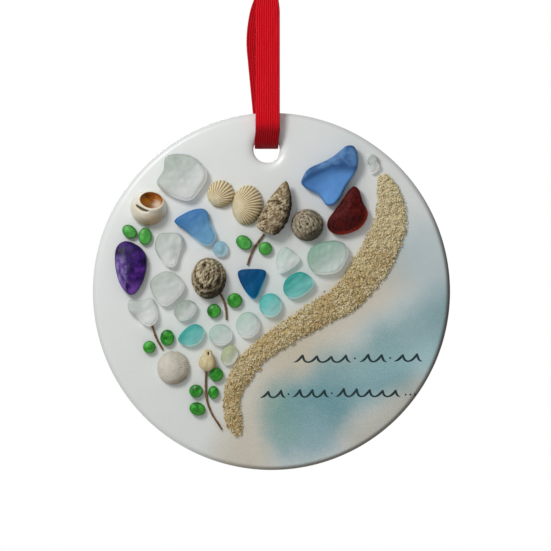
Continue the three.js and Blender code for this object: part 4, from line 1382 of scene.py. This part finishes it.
def coiled_dome(name, node, apex, turns, ridge, knob, finish, seed, fine, fibre):
    """A domed shell seen from above: an ellipsoid drawn as rings round its apex, raised by relief
    along its own normal. The spiral's phase grows with distance from the apex and with the angle."""
    outline, height = widest_outline(node, 300), piece_height(node)
    share, plan = drawn_to(apex, outline, 110)
    middle, half, offset, round_off, level = dome(plan, outline, height, 0.3, 0.5)
    turn = np.arctan2(*(outline - apex).T[::-1]) / (2 * math.pi)
    solid = np.concatenate([plan, level[..., None]], -1)
    relief = knobbly(solid, turns * share[..., 0] ** 0.8 - turn[None, :], ridge, knob, seed, fine, fibre)
    relief = relief * smoothstep(share[..., 0], 0.0, 0.12) * (0.25 + 0.75 * round_off ** 0.2)
    away = unit(np.concatenate([offset / half, (level[..., None] / height ** 2)], -1))
    plan = plan + away[..., :2] * relief[..., None]
    level = np.minimum(level + away[..., 2] * relief, height + 0.3)
    inner = middle + np.array([0.97, 0.5, 0.15])[:, None, None] * (plan[-1] - middle)
    plan_all = np.concatenate([plan, inner])
    level_all = np.concatenate([level, np.full((3, level.shape[1]), BEDDING)])
    shown = 0.5 + relief / (2.6 * (ridge + knob))
    marks = {"relief": np.concatenate([shown, np.zeros((3, shown.shape[1]))]),
             "low": (plan_all - middle) / half @ np.array([0.5, -0.87])}
    return laid(name, plan_all, level_all, finish, marks)


grey_brown = crust_finish("periwinkle_crust", "3c3424", "928670", "cabca2", "bca490", 0.85)
umber = crust_finish("top_shell_crust", "2c2110", "7e6c4e", "d0c4a6", "7c6a54", 0.9, 0.3)
tawny = crust_finish("spire_crust", "2a1c0a", "8a7250", "ddd0b0", "a89278", 1.0)

# node, apex, turns, ridge and knob in millimetres, finish, seed, fineness, fibre
for node, *shape in (("periwinkle", (6.9, 15.0), 4.2, 0.03, 0.045, grey_brown, 61, 1.9, 1.0),
                     ("top_shell", (-15.2, 0.4), 3.4, 0.03, 0.1, umber, 64, 1.25, 0.42)):
    glue_down(coiled_dome(node + "_coiled", node, *shape), "brown_shell", node)

# x, z of the foot and tip; radius and sideways sway at each share of the length, in millimetres
SPIRE_FOOT = np.array([-0.7, 12.2])
SPIRE_TIP = np.array([3.1, 23.4])
SPIRE_STATIONS = [(0.0, 0.0, -0.4), (1.7, 0.02, -0.4), (2.55, 0.11, -0.4), (2.8, 0.25, 0.0),
                  (2.8, 0.38, 0.2), (2.6, 0.54, 0.3), (2.05, 0.7, 0.33), (1.35, 0.84, 0.27),
                  (0.8, 0.925, 0.15), (0.35, 0.98, 0.05), (0.0, 1.0, 0.0)]
SPIRE_FLATTEN = 0.8
SPIRE_WHORLS = 5.0


def lying_rings(stations, foot, tip, flatten, rows, columns, relief_of):
    """A turned form lying on the face. Its radius and sway follow the stations along the line from
    foot to tip, its height is flattened, and relief_of(points, share, turn) raises its radius."""
    profile = smooth_line(stations, rows)
    radius, share, sway = np.clip(profile[:, :1], 0.02, None), profile[:, 1:2], profile[:, 2:]
    turn = np.linspace(0, 2 * math.pi, columns, endpoint=False)[None, :]
    line = tip - foot
    side = np.array([line[1], -line[0]]) / np.linalg.norm(line)
    widest = radius.max()
    unit_ring = np.stack([share + 0 * turn, radius * np.cos(turn), radius * np.sin(turn)], -1)
    scaled = unit_ring * np.array([np.linalg.norm(line), 1, 1])
    relief = relief_of(scaled, share, turn)
    swollen = radius + relief * np.minimum(radius / (0.35 * widest), 1)
    plan = foot + share[..., None] * line + (sway + swollen * np.cos(turn))[..., None] * side
    level = GLUE_FILM / MM + flatten * (widest + swollen * np.sin(turn))
    return plan, np.maximum(level, BEDDING), relief, turn


def spire_relief(points, share, turn):
    """Knobs and whorls that wear smoother towards the tip."""
    worn = 1 - 0.65 * smoothstep(share, 0.55, 0.95)
    return worn * knobbly(points, SPIRE_WHORLS * share - turn / (2 * math.pi), 0.06, 0.085, 71, 1.5)


plan, level, relief, turn = lying_rings(SPIRE_STATIONS, SPIRE_FOOT, SPIRE_TIP, SPIRE_FLATTEN, 190, 150,
                                        spire_relief)
spire_marks = {"relief": 0.5 + relief / 0.42, "low": 0.95 * np.cos(turn) - 0.28 * np.sin(turn)}
spire = laid("spire_shell_coiled", plan, level, tawny, spire_marks)
glue_down(spire, "brown_shell", "spire_shell")

# ---------------------------------------------------------------- seed pod and twigs
# Dried plant parts: three short twigs and a long curved one that carries a poppy-like seed pod,
# whose mouth is a small dimple near its tip, painted dark as shade.

POD_FOOT = np.array([-13.7, -16.9])
POD_TIP = np.array([-13.4, -12.25])
POD_STATIONS = [(0.0, 0.0, 0.0), (0.7, 0.04, 0.0), (1.6, 0.2, 0.0), (1.85, 0.4, 0.0), (1.5, 0.62, 0.0),
                (1.0, 0.78, 0.0), (0.85, 0.9, 0.0), (0.5, 0.98, 0.0), (0.0, 1.0, 0.0)]
POD_HOLE_AT = 0.82


def pod_relief(points, share, turn):
    """Seven faint ribs and a round dimple where the pod opens to the front."""
    ribs = 0.045 * np.cos(7 * turn) * np.sin(math.pi * share)
    from_hole = np.hypot((share - POD_HOLE_AT) * 4.7, (turn - math.pi / 2) * 1.15 + 0.25)
    return ribs + 0.03 * ripple(points, 0.8, 91) - 0.7 * np.exp(-(from_hole / 0.42) ** 2)


def pod_finish():
    finish, tree, shader = new_finish("dried_pod", Specular_IOR_Level=0.35)
    place = object_place(tree)
    hole, low = attribute(tree, "hole"), attribute(tree, "low")
    fibre = noise(tree, drawn_up(tree, place, 0.25), 1700.0, 4.0, 0.65)
    colour = ramp(tree, fibre, [(0.3, "c4ac78"), (0.5, "dfcea0"), (0.7, "eaddba")])
    # Painted shade: darker on the low side, away from the lamp.
    colour = mix(tree, fade(tree, low, 0.1, 0.95, 0.0, 0.7), colour, "9a7c54")
    # Painted shade: the mouth's dimple is dark.
    colour = mix(tree, fade(tree, hole, 0.28, 0.7), colour, "3a2208")
    finish_inputs(tree, shader, Base_Color=colour, Roughness=fade(tree, fibre, 0.3, 0.7, 0.8, 0.6),
                  Normal=bump(tree, fibre, 0.06 * MM, 0.6))
    return finish


plan, level, relief, turn = lying_rings(POD_STATIONS, POD_FOOT, POD_TIP, 0.85, 80, 84, pod_relief)
pod_marks = {"hole": np.clip((-relief - 0.12) / 0.5, 0, 1), "low": 0.9 * np.cos(turn) - 0.4 * np.sin(turn)}
pod = laid("seed_pod_dried", plan, level, pod_finish(), pod_marks)
glue_down(pod, "dried_pod", "seed_pod")

TWIGS = {
    "stem_spire": [(-1.5, 12.2), (-2.6, 10.8), (-3.5, 9.5), (-4.4, 7.7), (-5.1, 5.6)],
    "stem_top_shell": [(-11.0, -0.2), (-10.1, -2.0), (-9.65, -3.9), (-9.5, -6.1)],
    "stem_petal": [(-25.4, -7.0), (-24.4, -9.9), (-23, -12.4)],
    "stem_pod": [(-13.8, -16.6), (-13.95, -19.7), (-13.7, -23), (-12.7, -25.8), (-11.2, -28.2),
                 (-10.5, -29.3)],
}
TWIG_RADIUS = 0.22
TWIG_SEED = 95


def bark_finish():
    finish, tree, shader = new_finish("twig_bark", Specular_IOR_Level=0.3)
    place = object_place(tree)
    grain = noise(tree, drawn_up(tree, place, 0.3), 2200.0, 4.0, 0.7)
    colour = ramp(tree, grain, [(0.3, "442a14"), (0.5, "785432"), (0.72, "a88456")])
    finish_inputs(tree, shader, Base_Color=colour, Roughness=fade(tree, grain, 0.3, 0.7, 0.85, 0.65),
                  Normal=bump(tree, grain, 0.08 * MM, 0.8))
    return finish


def twig_piece(node, route, finish, seed):
    """A round twig along its route: its radius swells at random and at a node part way, and its ends
    are cut square with a slight bevel."""
    line = smooth_line(route, 70)
    turn = np.linspace(0, 2 * math.pi, 14, endpoint=False)
    share = np.linspace(0, 1, 70)
    swell = 1 + 0.1 * ripple(share[:, None], 0.09, seed) + 0.3 * np.exp(-((share - 0.4) / 0.03) ** 2)
    bevel = np.clip(np.minimum(share, 1 - share) * 60 + 0.6, 0, 1)
    radius = TWIG_RADIUS * (swell * bevel)[:, None]
    level = GLUE_FILM / MM * 0.6 + TWIG_RADIUS + radius * np.sin(turn)
    return skin(node + "_bark", on_face(*beside_line(line, radius * np.cos(turn)), level), finish)


bark = bark_finish()
for seed, (node, route) in enumerate(TWIGS.items()):
    glue_down(twig_piece(node, route, bark, TWIG_SEED + seed), "twig_bark", node)
